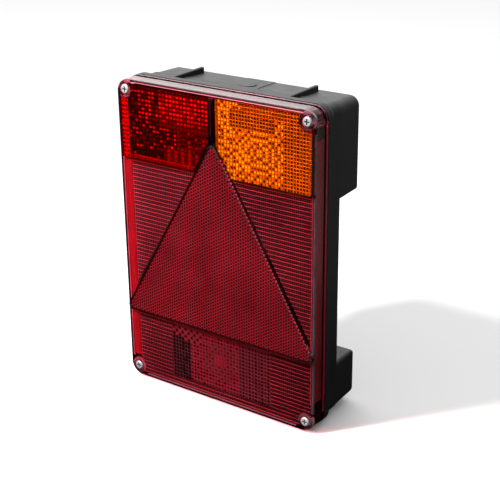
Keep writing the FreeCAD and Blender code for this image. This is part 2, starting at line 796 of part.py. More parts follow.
def make_bulb(lamp, x, z, filaments):
    """Glass envelope, bayonet cap with two side pins, and the filament on its stem."""
    cap = lamp + "_bulb_cap"
    solid = joined(cap + "_solid", [
        post(cap + "_shell", "cap_radius", "cap_bottom", "cap_top"),
        post(cap + "_nib", "nib_radius", "nib_bottom", "cap_bottom"),
        bayonet_pin(cap + "_pin")])
    hollow = post(cap + "_hollow", "cap_radius - 1", "cap_bottom + 2", "cap_top + 1")
    finished(less(cap, solid, hollow), x, z)

    finished(make_glass(lamp + "_bulb_glass"), x, z)

    stem = lamp + "_bulb_filament"
    reach = "(lead_x + lead_half)"
    pieces = [post(stem + "_stem", "stem_radius", "cap_bottom + 2", "cap_top + 7"),
              block(stem + "_foot", "-" + reach, reach, "cap_top + 5", "cap_top + 6.2",
                    "-2 * lead_half", "2 * lead_half")]
    for side in ("-", ""):
        lead = side + "lead_x"
        top = "filament_height + %d * filament_step" % (filaments - 1)
        pieces.append(block(stem + "_lead", lead + " - lead_half", lead + " + lead_half", "cap_top + 6",
                            top, "-lead_half", "lead_half"))
    for coil in range(filaments):
        level = "filament_height + %d * filament_step" % coil
        pieces.append(block(stem + "_coil", "-filament_half", "filament_half", level + " - coil_half",
                            level + " + coil_half", "-coil_half", "coil_half"))
    finished(joined(stem, pieces), x, z)


def bayonet_pin(name):
    pin = doc.addObject("Part::Cylinder", name)
    pin.Placement = Placement(Vector(0, 0, 0), Rotation(Vector(0, 1, 0), 90))
    bind(pin, "Radius", "pin_radius")
    bind(pin, "Height", "2 * pin_reach")
    bind(pin, "Placement.Base.x", "-pin_reach")
    bind(pin, "Placement.Base.y", "-pin_height")
    return pin


def make_glass(label):
    """A thin round envelope on a straight neck that stands in the cap."""
    glass = doc.addObject("Part::Feature", label)
    neck, globe, middle = size_of("glass_neck"), size_of("glass_radius"), size_of("glass_middle")
    wall, foot = size_of("glass_wall"), size_of("cap_top - 3")
    solids = []
    for thin in (0.0, wall):
        inner_neck, inner_globe = neck - thin, globe - thin
        drop = math.sqrt(inner_globe ** 2 - inner_neck ** 2)
        shoulder = Vector(inner_neck, -(middle - drop), 0)
        side = Vector(inner_globe, -middle, 0)
        top = Vector(0, -(middle + inner_globe), 0)
        diagonal = inner_globe * math.sqrt(0.5)
        low_side = Vector(diagonal, -(middle - diagonal), 0)
        high_side = Vector(diagonal, -(middle + diagonal), 0)
        start, corner = Vector(0, -foot, 0), Vector(inner_neck, -foot, 0)
        edges = [Part.LineSegment(start, corner).toShape(),
                 Part.LineSegment(corner, shoulder).toShape(),
                 Part.Arc(shoulder, low_side, side).toShape(),
                 Part.Arc(side, high_side, top).toShape(),
                 Part.LineSegment(top, start).toShape()]
        face = Part.Face(Part.Wire(edges))
        solids.append(face.revolve(Vector(0, 0, 0), Vector(0, 1, 0), 360))
    glass.Shape = solids[0].cut(solids[1])
    glass.Label = label
    return glass


# ---------------------------------------------------------------------- reflectors
def dish(name, lowest):
    """Everything in front of a parabola turned about the bulb's axis."""
    feature = doc.addObject("Part::Feature", name)
    bottom, focal = size_of(lowest), size_of("focal_length")
    radius = size_of("dish_reach")
    top = bottom + radius ** 2 / (4 * focal)
    curve = Part.BezierCurve()
    curve.setPoles([Vector(0, -bottom, 0), Vector(radius / 2, -bottom, 0), Vector(radius, -top, 0)])
    rim = Vector(radius, -top, 0)
    middle = Vector(0, -top, 0)
    edges = [curve.toShape(), Part.LineSegment(rim, middle).toShape(),
             Part.LineSegment(middle, Vector(0, -bottom, 0)).toShape()]
    feature.Shape = Part.Face(Part.Wire(edges)).revolve(Vector(0, 0, 0), Vector(0, 1, 0), 360)
    return feature


def make_reflector(lamp, x, z, width, height, notch_side=0):
    """A metallised bowl: a parabolic floor with four straight walls, on four legs."""
    name = lamp + "_reflector"
    half, tall = "(%s) / 2" % width, "(%s) / 2" % height
    walls = block(name + "_outside", "-" + half, half, "-10", "dish_front", "-" + tall, tall)
    outer_dish = dish(name + "_outer_dish", "dish_bottom - dish_wall")
    pieces = [shared(name + "_bowl", walls, outer_dish)]
    for across in ("-leg_x", "leg_x"):
        for up in ("-leg_z", "leg_z"):
            pieces.append(post(name + "_leg", "leg_radius", "-box_depth + wall", "dish_bottom + 10",
                               across, up))
    hollow_box = block(name + "_inside", "-%s + dish_wall" % half, half + " - dish_wall", "-10",
                       "dish_front + 1", "-%s + dish_wall" % tall, tall + " - dish_wall")
    inner_dish = dish(name + "_inner_dish", "dish_bottom")
    hollow = [shared(name + "_hollow", hollow_box, inner_dish),
              post(name + "_hole", "dish_hole", "-10", "dish_bottom + 10")]
    if lamp == "stop_tail":
        shelf_half = half + " - shelf_step"
        shelf_top = "shelf_height - " + tall
        pieces.append(block(name + "_shelf", "-%s + shelf_step" % half, shelf_half, "shelf_back",
                            "dish_front - shelf_step", tall + " - 2 * dish_wall", shelf_top))
        hollow.append(block(name + "_shelf_inside", "-%s + shelf_step + dish_wall" % half,
                            shelf_half + " - dish_wall", "shelf_back + dish_wall", "dish_front + 2",
                            "%s - 5" % tall, shelf_top + " - dish_wall"))
    solid = joined(name + "_solid", pieces)
    space = joined(name + "_space", hollow)
    if notch_side:
        across = "%d * (screw_x - upper_bulb_x)" % notch_side
        up = "mid_height + screw_dz - upper_bulb_z"
        notch = post(name + "_notch", "pillar + dish_gap", "-30", "40", across, up)
        kept = post(name + "_keep", "pillar + dish_gap + dish_wall", "-30", "40", across, up)
        solid = less(name + "_notched", solid, notch)
        space = less(name + "_kept", space, kept)
    finished(less(name, solid, space), x, z)


# -------------------------------------------------------------------------- wiring
def busbar(label, routes):
    """Square brass bars: each route is a list of (x, height, z) corners."""
    half = "busbar / 2"
    pieces = []
    for route in routes:
        for start, end in zip(route, route[1:]):
            limits = []
            for first, second in zip(start, end):
                limits.append("min(%s; %s) - %s" % (first, second, half))
                limits.append("max(%s; %s) + %s" % (first, second, half))
            pieces.append(block(label + "_run", *limits))
    finished(joined(label, pieces))


def make_wiring():
    tray = "floor_front + busbar / 2"
    deep = "-box_depth + wall + busbar / 2"
    start = "block_middle"
    above = "upper_box_bottom + wall + busbar / 2 + 0.7"
    below = "lower_box_top - wall - busbar / 2 - 0.5"
    flange = "(shell_flange + busbar / 2)"
    for label, terminal, side in (("fog_busbar", "-2", "-"), ("indicator_busbar", "2", "")):
        x = terminal + " * terminal_pitch"
        lamp_x = side + "upper_bulb_x"
        busbar(label, [[(x, tray, start), (x, tray, above), (x, deep, above), (lamp_x, deep, above),
                        (lamp_x, deep, "upper_bulb_z - " + flange)]])
    for label, terminal, stop in (("stop_busbar", "-1", "lower_bulb_z + 8.7"),
                                  ("tail_busbar", "0", "lower_bulb_z + " + flange)):
        x = terminal + " * terminal_pitch"
        busbar(label, [[(x, tray, start), (x, tray, below), (x, deep, below), (x, deep, stop)]])
    x = "terminal_pitch"
    lamp_edge = "(upper_bulb_x - %s)" % flange
    busbar("earth_busbar", [
        [(x, tray, below), (x, tray, above), (x, deep, above), (x, deep, "upper_bulb_z")],
        [("-" + lamp_edge, deep, "upper_bulb_z"), (lamp_edge, deep, "upper_bulb_z")],
        [(x, tray, below), (x, deep, below), (x, deep, "lower_bulb_z + 8.7")]])


def make_terminal_block():
    body = new_body("terminal_block")
    seat = "floor_front + busbar"
    outline = front_sketch(body, seat)
    rectangle(outline, "-block_width / 2", "block_width / 2", "block_middle - block_high / 2",
              "block_middle + block_high / 2")
    pad(body, outline, "block_front - (%s)" % seat)
    feet = front_sketch(body, seat)
    for side in (-1, 1):
        outer, inner = "%d * block_width / 2" % side, "%d * (block_width / 2 - 3)" % side
        left, right = (outer, inner) if side < 0 else (inner, outer)
        rectangle(feet, left, right, "block_middle - block_high / 2", "block_middle + block_high / 2")
    pad(body, feet, "busbar", back=True)
    holes = front_sketch(body, "block_front")
    for place in range(-2, 3):
        circle(holes, "%d * terminal_pitch" % place, "block_middle", "terminal_hole")
    pocket(body, holes, "block_front - (%s) - 1" % seat)
    finished(body)

    screws, slots = [], []
    for place in range(-2, 3):
        across = "%d * terminal_pitch" % place
        screws.append(post("terminal_screw_body", "terminal_screw",
                           "block_front - terminal_screw_long - 1", "block_front - 1", across,
                           "block_middle"))
        slots.append(block("terminal_screw_slot", across + " - 3", across + " + 3", "block_front - 2",
                           "block_front", "block_middle - 0.4", "block_middle + 0.4"))
    bodies = joined("terminal_screw_bodies", screws)
    finished(less("terminal_screws", bodies, joined("terminal_screw_slots", slots)))


# --------------------------------------------------------------------------- build
def check_everything():
    doc.recompute()
    failed = ["%s: %s" % (item.Label, item.getStatusString()) for item in doc.Objects
              if "Invalid" in item.State or "Error" in item.State]
    if failed:
        raise RuntimeError("failed: " + "; ".join(failed))
    for item in sub_parts:
        if item.Shape.isNull() or not item.Shape.isValid() or not item.Shape.Solids:
            raise RuntimeError("%s has no valid solid" % item.Label)


def write_parts():
    os.makedirs("parts", exist_ok=True)
    for item in sub_parts:
        item.Shape.exportStep("parts/%s.step" % item.Label)
        box = item.Shape.optimalBoundingBox()
        print("%-28s solids %d  volume %9.1f  x %7.2f %7.2f  y %7.2f %7.2f  z %7.2f %7.2f" % (
            item.Label, len(item.Shape.Solids), item.Shape.Volume,
            box.XMin, box.XMax, box.YMin, box.YMax, box.ZMin, box.ZMax))


make_base_housing()
make_gasket()
make_studs()
make_grommet()
make_lens_shell()
make_windows()
make_reflex()
make_lens_screws()
for lamp, (x, z, filaments) in LAMPS.items():
    make_socket(lamp, x, z)
    make_plunger(lamp, x, z)
    make_spring(lamp, x, z)
    make_bulb(lamp, x, z, filaments)
make_reflector("fog", "-upper_bulb_x", "upper_bulb_z", "upper_dish_width", "upper_dish_height", -1)
make_reflector("indicator", "upper_bulb_x", "upper_bulb_z", "upper_dish_width", "upper_dish_height", 1)
make_reflector("stop_tail", "0", "lower_bulb_z", "lower_dish_width", "lower_dish_height")
make_wiring()
make_terminal_block()
check_everything()
write_parts()
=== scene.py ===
"""Trailer rear lamp: red and amber lens with moulded optics over a black base.

Millimetres in the code, metres in the meshes.  The frame is the CAD's: the origin is the
middle of the mounting face, +X right, +Z up, +Y back into the trailer.  A height is the
distance in front of the mounting face, so a height of 36 lies at y = -36.
"""
import math

import bmesh
import bpy
from mathutils import Matrix, Vector


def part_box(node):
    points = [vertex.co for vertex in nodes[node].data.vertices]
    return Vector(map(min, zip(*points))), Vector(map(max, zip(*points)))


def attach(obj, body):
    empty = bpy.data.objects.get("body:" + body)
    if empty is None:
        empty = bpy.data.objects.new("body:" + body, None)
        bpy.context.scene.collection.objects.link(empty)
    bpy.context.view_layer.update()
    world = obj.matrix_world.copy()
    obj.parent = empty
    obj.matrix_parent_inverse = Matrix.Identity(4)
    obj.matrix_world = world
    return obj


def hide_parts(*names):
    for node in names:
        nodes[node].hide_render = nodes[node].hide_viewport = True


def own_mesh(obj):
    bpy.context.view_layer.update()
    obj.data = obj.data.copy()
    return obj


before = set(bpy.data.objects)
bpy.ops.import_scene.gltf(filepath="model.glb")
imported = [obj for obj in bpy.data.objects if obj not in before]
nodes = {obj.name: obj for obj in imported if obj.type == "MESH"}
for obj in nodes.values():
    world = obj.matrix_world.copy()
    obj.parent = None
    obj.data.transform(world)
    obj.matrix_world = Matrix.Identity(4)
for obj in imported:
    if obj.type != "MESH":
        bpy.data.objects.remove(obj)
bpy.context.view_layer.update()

MM = 0.001


def corners_of(node):
    """Lowest and highest corner of a CAD node in millimetres."""
    low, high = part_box(node)
    return Vector(low) / MM, Vector(high) / MM


# ------------------------------------------------------------------ levels from the frame
lens_low, lens_high = corners_of("lens_shell")
FACE = -lens_low.y
LENS_SEAT = -lens_high.y
PLATE_BACK = -corners_of("fog_window")[1].y
MID_Z = (lens_low.z + lens_high.z) / 2
HALF_W = lens_high.x
TRI_FACE = -corners_of("reflex_triangle")[0].y
FLOOR_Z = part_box("base_housing")[0].z

# plan of the lens; the same names stand in the CAD's size sheet
WINDOW_OUT, WINDOW_TOP, WINDOW_IN, WINDOW_BOTTOM = 82.4, 132.4, 2.7, 76.0
WINDOW_CUT_X, WINDOW_CUT_Z, WINDOW_NOTCH = 17.0, 99.8, 6.3
SCREW_X, SCREW_DZ = 78.1, 112.3
TRI_SIDE, TRI_BOTTOM, TRI_CORNER, TRI_BEVEL = 175.0, -49.0, 4.5, 1.1
SCREWS = [(-SCREW_X, MID_Z + SCREW_DZ), (SCREW_X, MID_Z + SCREW_DZ),
          (-SCREW_X, MID_Z - SCREW_DZ), (SCREW_X, MID_Z - SCREW_DZ)]
SLOPE = math.sqrt(3)
TRI_TOP = TRI_BOTTOM + SLOPE / 2 * TRI_SIDE

# ------------------------------------------------------------------- sizes of the optics
# finishes of a sheet of optic cells, from dark to bright, painted reflections and highlights; its back has
# the next number
BLACK, DARK, DIM, MID, LIGHT, FLASH = range(6)
TONE_COUNT = 6
# finishes of the reflex cells and of the ribbed sheets, by number; the reflex pits carry a painted
# reflection, the rib crests a painted highlight
CELL_WEB, CELL_PIT, CELL_BACK = range(3)
RIB_GROUND, RIB_CREST, RIB_PIT, RIB_BACK = range(4)

# vertices closer than WELD are one; a cut takes a vertex within CUT_REACH as lying on it
WELD, CUT_REACH = 0.01, 1e-5

# thickness of the clear window fronts, the gap under them, and the margin of the sheets
FRONT_THICK, FRONT_GAP, SHEET_MARGIN = 1.0, 0.08, 0.15
# the sheets under the windows and the triangle end just in front of the plate's back
SHEET_BACK = PLATE_BACK + 0.02
NOTCH_STEPS = 14

# reflex cells: pitch across and up, depth, share of the pit in a cell, drop of the pit's rim
CELL_ACROSS, CELL_UP, CELL_DEPTH, PIT_SHARE, PIT_DROP = 2.15, 2.5, 1.25, 0.76, 0.12
REFLEX_LIFT, REFLEX_GAP = 1.45, 0.05
# smooth border round the cells: from its outer to its inner inset, with rungs across it
BORDER_OUT, BORDER_IN = 0.06, 1.9
RUNG_PITCH, RUNG_WIDE, RUNG_START, RUNG_SPARE = 2.9, 1.3, 11, 22
RUNG_OUT, RUNG_IN, RUNG_LOW, RUNG_HIGH = 0.45, 1.75, 0.01, 0.3

# ribbed sheets: pitch, share and rise of a crest, size and depth of a pit, rows of pits
RIB_PITCH_X, RIB_PITCH_Z, CREST_SHARE, CREST_RISE = 1.7, 3.15, 0.2, 0.42
RIB_PIT_HALF, RIB_PIT_DEEP, RIB_LANES = 0.33, 0.4, 2
RIB_LEVEL, RIB_THICK = PLATE_BACK - 0.6, 1.0
# the sheets end at RIB_EDGE on the right, and on the left at GLOW_EDGE, where strips of painted glow begin
RIB_EDGE, GLOW_EDGE = HALF_W - 0.5 - 3.2, 75.5
BAND_GAP, BAND_BOTTOM = 1.3, MID_Z - 117.4
BAND_TOP = TRI_BOTTOM - BAND_GAP
# the lower end of a sheet beside the triangle is lifted and blunt
FLANK_LIFT, FLANK_TIP = 2, 0.1
SCREW_CLEAR = 6.0
# cells of the stop lamp, with a crack between them and the ribs round them
STOP_LEFT, STOP_RIGHT, STOP_TOP, STOP_BOTTOM, STOP_CRACK = -43.5, 47.0, -52.0, -96.0, 0.1

# ----------------------------------------------------------------------- the loose parts
# name, x, z and number of filaments of each bulb
BULBS = (("fog", -40.8, 101.3, 1), ("indicator", 40.8, 101.3, 1), ("stop_tail", 0, -84, 2))
STUD_X = 55
# head in the tray, collar in the wall, and the end that goes through the bracket
STUD_PROFILE = [(4.5, 0), (4.5, 5.4), (3.9, 6), (2.5, 6), (2.5, 3.5), (0, 3.5), (0, 3.0), (-2, 3.0),
                (-20, 3.0), (-20.5, 2.5), (-20.5, 0)]
# lowest and highest height of the thread, its pitch and its depth
STUD_THREAD = (-20, -2, 1.0, 0.42)
THREAD_STEPS = 8
STEM_PROFILE = [(-14.2, 0), (-14.2, 2.6), (0, 2.6), (3, 2.0), (6, 1.3), (6, 0)]
SPRING_TURNS, SPRING_STEPS, SPRING_REACH, SPRING_WIRE = 4.5, 24, 5.2, 0.3
# height of the first filament and the step to the next, then half its length and its coil
FILAMENT_UP, FILAMENT_STEP, FILAMENT_HALF = 21.3, 4, 3.0
COIL_REACH, COIL_STEPS, COIL_WIRE, LEAD_WIRE = 0.32, 120, 0.09, 0.22


# -------------------------------------------------------------------------- materials
def grey(level):
    return (level,) * 3


def new_material(name):
    material = bpy.data.materials.new(name)
    material.use_nodes = True
    material.node_tree.nodes.clear()
    return material, material.node_tree.nodes, material.node_tree.links


def principled(nodes_, colour, roughness, **sockets):
    shader = nodes_.new("ShaderNodeBsdfPrincipled")
    shader.inputs["Base Color"].default_value = (*colour, 1)
    shader.inputs["Roughness"].default_value = roughness
    for name, value in sockets.items():
        shader.inputs[name.replace("_", " ")].default_value = value
    return shader


def noise(nodes_, links, scale, detail=3.0):
    where = nodes_.new("ShaderNodeTexCoord")
    texture = nodes_.new("ShaderNodeTexNoise")
    texture.inputs["Scale"].default_value = scale
    texture.inputs["Detail"].default_value = detail
    texture.inputs["Roughness"].default_value = 0.55
    links.new(where.outputs["Object"], texture.inputs["Vector"])
    return texture.outputs["Fac"]


def ramp(nodes_, links, source, stops):
    """A colour ramp: stops are (position, colour)."""
    node = nodes_.new("ShaderNodeValToRGB")
    while len(node.color_ramp.elements) < len(stops):
        node.color_ramp.elements.new(0.5)
    for element, (position, colour) in zip(node.color_ramp.elements, stops):
        element.position = position
        element.color = (*colour, 1)
    links.new(source, node.inputs["Fac"])
    return node.outputs["Color"]


def mapped(nodes_, links, source, start=0.0, end=1.0, low=0.0, high=1.0):
    """The span from start to end laid on the span from low to high."""
    node = nodes_.new("ShaderNodeMapRange")
    for name, value in (("From Min", start), ("From Max", end), ("To Min", low), ("To Max", high)):
        node.inputs[name].default_value = value
    links.new(source, node.inputs["Value"])
    return node.outputs["Result"]


def multiplied(nodes_, links, colour, factor):
    node = nodes_.new("ShaderNodeVectorMath")
    node.operation = "MULTIPLY"
    links.new(colour, node.inputs[0])
    links.new(factor, node.inputs[1])
    return node.outputs["Vector"]


def bump(nodes_, links, source, strength, distance, shader):
    node = nodes_.new("ShaderNodeBump")
    node.inputs["Strength"].default_value = strength
    node.inputs["Distance"].default_value = distance * MM
    links.new(source, node.inputs["Height"])
    links.new(node.outputs["Normal"], shader.inputs["Normal"])


def by_ray(nodes_, links, ray, shader, otherwise):
    """One shader for one kind of ray and another for the rest."""
    path = nodes_.new("ShaderNodeLightPath")
    mix = nodes_.new("ShaderNodeMixShader")
    links.new(path.outputs[ray], mix.inputs["Fac"])
    links.new(otherwise.outputs[0], mix.inputs[1])
    links.new(shader.outputs[0], mix.inputs[2])
    return mix


def surface(nodes_, links, shader):
    out = nodes_.new("ShaderNodeOutputMaterial")
    links.new(shader.outputs[0], out.inputs["Surface"])


def grained(name, low, high, roughness, grain=900.0, depth=0.05, strength=0.25, patches=18.0,
            rough_low=-0.07, rough_high=0.08, across=None, recess_shade=0.0, **sockets):
    """Moulded or metal finish: colour and roughness vary in patches, with a fine grain.

    across gives stops (place from left to right, factor) that make one side lighter, as painted
    light from the lamp on the left, and the recess shade is how near, in millimetres, other faces
    have to be to darken the finish, as painted shade in recesses.
    """
    material, n, l = new_material(name)
    shader = principled(n, high, roughness, **sockets)
    colour = ramp(n, l, noise(n, l, patches, 4.0), [(0.3, low), (0.7, high)])
    # painted light: one side lighter, as if lit by the lamp on the left
    if across:
        where = n.new("ShaderNodeTexCoord")
        split = n.new("ShaderNodeSeparateXYZ")
        l.new(where.outputs["Object"], split.inputs[0])
        place = mapped(n, l, split.outputs["X"], -HALF_W * MM, HALF_W * MM)
        levels = ramp(n, l, place, [(at, grey(level)) for at, level in across])
        colour = multiplied(n, l, colour, levels)
    # painted shade: the colour darkens where other faces are near, by ambient occlusion
    if recess_shade:
        occlusion_shade = n.new("ShaderNodeAmbientOcclusion")
        occlusion_shade.inputs["Distance"].default_value = recess_shade * MM
        l.new(colour, occlusion_shade.inputs["Color"])
        levels = ramp(n, l, occlusion_shade.outputs["AO"], [(0.25, grey(0.02)), (0.75, grey(1))])
        colour = multiplied(n, l, occlusion_shade.outputs["Color"], levels)
    l.new(colour, shader.inputs["Base Color"])
    l.new(mapped(n, l, noise(n, l, patches * 6), low=roughness + rough_low,
                 high=roughness + rough_high), shader.inputs["Roughness"])
    bump(n, l, noise(n, l, grain, 2.0), strength, depth, shader)
    surface(n, l, shader)
    return material


def clear_plastic(name, tint, shadow_tint, roughness=0.015, ior=1.49, level=0.3):
    """Moulded transparent plastic that lamps outside also shine through."""
    material, n, l = new_material(name)
    shader = principled(n, tint, roughness, IOR=ior, Transmission_Weight=1.0, Specular_IOR_Level=level)
    deep = tuple(channel * 0.86 for channel in tint)
    l.new(ramp(n, l, noise(n, l, 25.0, 2.0), [(0.3, deep), (0.7, tint)]), shader.inputs["Base Color"])
    l.new(mapped(n, l, noise(n, l, 60.0, 4.0), low=roughness * 0.6, high=roughness * 1.5),
          shader.inputs["Roughness"])
    through = n.new("ShaderNodeBsdfTransparent")
    through.inputs["Color"].default_value = (*shadow_tint, 1)
    surface(n, l, by_ray(n, l, "Is Shadow Ray", through, shader))
    return material


red_plastic = clear_plastic("red_lens_plastic", (0.62, 0.17, 0.21), (0.62, 0.22, 0.27), ior=1.30)
fog_plastic = clear_plastic("fog_lens_plastic", (0.85, 0.003, 0.004), (0.85, 0.01, 0.01), ior=1.16)
amber_plastic = clear_plastic("amber_lens_plastic", (0.98, 0.70, 0.006), (0.96, 0.42, 0.02), ior=1.25)
reflex_plastic = clear_plastic("reflex_front_plastic", (0.76, 0.17, 0.23), (0.75, 0.20, 0.26))
bulb_plastic = clear_plastic("bulb_glass_clear", (0.97, 0.97, 0.97), (0.97, 0.97, 0.97),
                             roughness=0.01, ior=1.45, level=0.5)

black_abs = grained("black_housing_plastic", (0.009, 0.009, 0.0095), (0.015, 0.015, 0.0155), 0.5,
                    grain=1500.0, depth=0.06, strength=0.35, Specular_IOR_Level=0.26)
rubber = grained("black_rubber", (0.010, 0.010, 0.010), (0.018, 0.018, 0.018), 0.72, depth=0.08)
# the zinc carries painted shade in its recesses
zinc = grained("zinc_plated_steel", (0.74, 0.75, 0.76), (1.0, 1.0, 0.99), 0.42, Metallic=0.45,
               grain=700.0, depth=0.03, recess_shade=1.6)
brass = grained("brass", (0.55, 0.36, 0.12), (0.72, 0.50, 0.20), 0.32, Metallic=1.0, depth=0.03)
tinned = grained("tinned_socket_metal", (0.45, 0.45, 0.44), (0.62, 0.62, 0.60), 0.34, Metallic=1.0)
cap_metal = grained("bulb_cap_nickel", (0.50, 0.48, 0.44), (0.66, 0.63, 0.57), 0.28, Metallic=1.0)
spring_metal = grained("spring_steel", (0.38, 0.38, 0.40), (0.55, 0.55, 0.56), 0.30, Metallic=1.0)
insulator = grained("phenolic_insulator", (0.10, 0.045, 0.02), (0.16, 0.075, 0.035), 0.55)
block_nylon = grained("terminal_block_nylon", (0.50, 0.49, 0.45), (0.62, 0.61, 0.57), 0.5)
backing_abs = grained("reflex_backing_plastic", (0.16, 0.006, 0.008), (0.24, 0.012, 0.014), 0.5)
tungsten = grained("tungsten_and_glass_stem", (0.25, 0.24, 0.22), (0.42, 0.41, 0.38), 0.4, Metallic=0.6)
chrome = grained("vacuum_metallised", (0.70, 0.70, 0.70), (0.84, 0.84, 0.83), 0.20, Metallic=1.0,
                 grain=350.0, depth=0.04, rough_low=-0.06, rough_high=0.10)
# the cell web is lighter on the left: painted light from the lamp on the left
web_red = grained("reflex_cell_ribs", (0.47, 0.25, 0.33), (0.64, 0.33, 0.43), 0.45, patches=30.0,
                  across=[(0.0, 1.1), (1.0, 0.85)])
# the pits are painted near black: a painted reflection of the dark view that corner cubes send back
pit_painted_reflection = grained("reflex_cell_pits", (0.002, 0.12, 0.08), (0.006, 0.20, 0.13), 0.5, patches=40.0,
                    Specular_IOR_Level=0.1)
border_dark = grained("reflex_border_band", (0.004, 0.004, 0.004), (0.012, 0.010, 0.011), 0.4)

# painted light: the ribbed sheets get darker from left to right, away from the lamp on the left, the lower
# band more so
RIB_GROUND_RED = (0.16, 0.52, 0.47), (0.22, 0.66, 0.58)
# the crests are lighter than the ground: a painted highlight of the light that the ribs catch
RIB_CREST_HIGHLIGHT_RED = (0.58, 0.29, 0.33), (0.74, 0.36, 0.40)
PAINTED_LIGHT_FADE = [(0.055, 1.6), (0.10, 1.25), (0.17, 1.08), (1.0, 0.68)]
PAINTED_LIGHT_FADE_LOW = [(0.055, 1.15), (0.10, 0.9), (0.17, 0.8), (0.6, 0.66), (1.0, 0.42)]
zone_red = grained("rib_band_red", *RIB_GROUND_RED, 0.5, patches=22.0, across=PAINTED_LIGHT_FADE)
rib_crest_highlight = grained("rib_crest_painted_highlight", *RIB_CREST_HIGHLIGHT_RED, 0.4, patches=22.0, across=PAINTED_LIGHT_FADE)
lower_red = grained("lower_rib_band_red", *RIB_GROUND_RED, 0.5, patches=22.0, across=PAINTED_LIGHT_FADE_LOW)
lower_rib_crest_highlight = grained("lower_rib_crest_painted_highlight", *RIB_CREST_HIGHLIGHT_RED, 0.4, patches=22.0, across=PAINTED_LIGHT_FADE_LOW)
zone_dot = grained("rib_pit_dark", (0.006, 0.04, 0.04), (0.016, 0.08, 0.08), 0.5,
                   Specular_IOR_Level=0.1)
lens_back_red = grained("lens_back_red", (0.22, 0.006, 0.010), (0.34, 0.012, 0.018), 0.3, patches=25.0)
lens_back_amber = grained("lens_back_amber", (0.50, 0.13, 0.006), (0.70, 0.20, 0.010), 0.3, patches=25.0)
# painted glow: bright red standing for light let in through the left skirt, brightest at the far left
painted_glow_red = grained("edge_strip_painted_glow", (0.90, 0.13, 0.22), (1.0, 0.18, 0.30), 0.4, patches=60.0,
                   across=[(0.0, 1.0), (0.045, 1.0), (0.07, 0.62), (0.2, 0.9), (1.0, 0.9)])
lining_red = grained("skirt_lining", (0.70, 0.60, 0.56), (0.92, 0.78, 0.72), 0.5, patches=24.0)


def tone_set(name, colours):
    """Moulded finishes from dark to bright for the slopes and dots of the optics, painted with the
    reflections and highlights of the lamp's insides.
    """
    return [grained("%s_tone_%d" % (name, number), tuple(0.72 * part for part in colour), colour, 0.35,
                    patches=60.0, Specular_IOR_Level=0.2) for number, colour in enumerate(colours)]


red_painted_light_tones = tone_set("red_optic_painted_light", [(0.006, 0.006, 0.006), (0.06, 0.25, 0.20), (0.14, 0.40, 0.35),
                                   (0.30, 0.46, 0.46), (0.58, 0.38, 0.48), (1.0, 0.34, 0.44)])
amber_painted_light_tones = tone_set("amber_optic_painted_light", [(0.010, 0.006, 0.006), (0.10, 0.030, 0.01), (0.28, 0.075, 0.01),
                                        (0.39, 0.115, 0.01), (0.66, 0.22, 0.01), (1.0, 0.78, 0.02)])

FINISH = {
    "base_housing": black_abs, "lens_gasket": rubber, "cable_grommet": rubber,
    "left_stud": zinc, "right_stud": zinc, "lens_shell": red_plastic,
    "fog_window": fog_plastic, "indicator_window": amber_plastic,
    "reflex_triangle": reflex_plastic, "reflex_backing": backing_abs,
    "terminal_block": block_nylon, "terminal_screws": brass,
}
ENDINGS = {"_socket": tinned, "_contact_plunger": insulator, "_contact_spring": spring_metal,
           "_bulb_cap": cap_metal, "_bulb_glass": bulb_plastic, "_bulb_filament": tungsten,
           "_reflector": chrome, "_busbar": brass}
for name, node in nodes.items():
    finish = FINISH.get(name) or (zinc if name.startswith("lens_screw") else None)
    for ending, candidate in ENDINGS.items():
        if finish is None and name.endswith(ending):
            finish = candidate
    node.data.materials.clear()
    node.data.materials.append(finish)


# ------------------------------------------------------------------------ mesh helpers
def piece(name, bm, materials, body, replaced=(), smooth=None):
    """Turn a bmesh in millimetres (x, height, z) into a piece on a body."""
    for vertex in bm.verts:
        x, height, z = vertex.co
        vertex.co = Vector((x, -height, z)) * MM
    mesh = bpy.data.meshes.new(name)
    bmesh.ops.recalc_face_normals(bm, faces=bm.faces[:])
    if bm.calc_volume(signed=True) < 0:
        bmesh.ops.reverse_faces(bm, faces=bm.faces[:])
    bm.to_mesh(mesh)
    bm.free()
    for material in materials:
        mesh.materials.append(material)
    obj = bpy.data.objects.new(name, mesh)
    bpy.context.scene.collection.objects.link(obj)
    if smooth is not None:
        mesh.shade_smooth()
        mesh.set_sharp_from_angle(angle=math.radians(smooth))
    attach(obj, body)
    if replaced:
        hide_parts(*replaced)
    return obj


def loop_of(bm, plan, height):
    """Vertices at one height over a plan of (x, z) points."""
    return [bm.verts.new((x, height, z)) for x, z in plan]


def skin(bm, loops, tone=0, ring=False):
    """Quads from loop to loop, then the two ends or, in a ring, from the last to the first."""
    count = len(loops[0])
    for near, far in zip(loops, loops[1:] + (loops[:1] if ring else [])):
        for i in range(count):
            j = (i + 1) % count
            bm.faces.new((near[i], near[j], far[j], far[i])).material_index = tone
    for end in () if ring else (loops[0], loops[-1]):
        bm.faces.new(end).material_index = tone


def weld(bm):
    bmesh.ops.remove_doubles(bm, verts=bm.verts[:], dist=WELD)


def clip(bm, lines):
    """Keep what lies left of each line, given as two (x, z) points."""
    for (x0, z0), (x1, z1) in lines:
        normal = Vector((z1 - z0, 0, -(x1 - x0)))
        bmesh.ops.bisect_plane(bm, geom=bm.verts[:] + bm.edges[:] + bm.faces[:], dist=CUT_REACH,
                               plane_co=Vector((x0, 0, z0)), plane_no=normal, clear_outer=True)


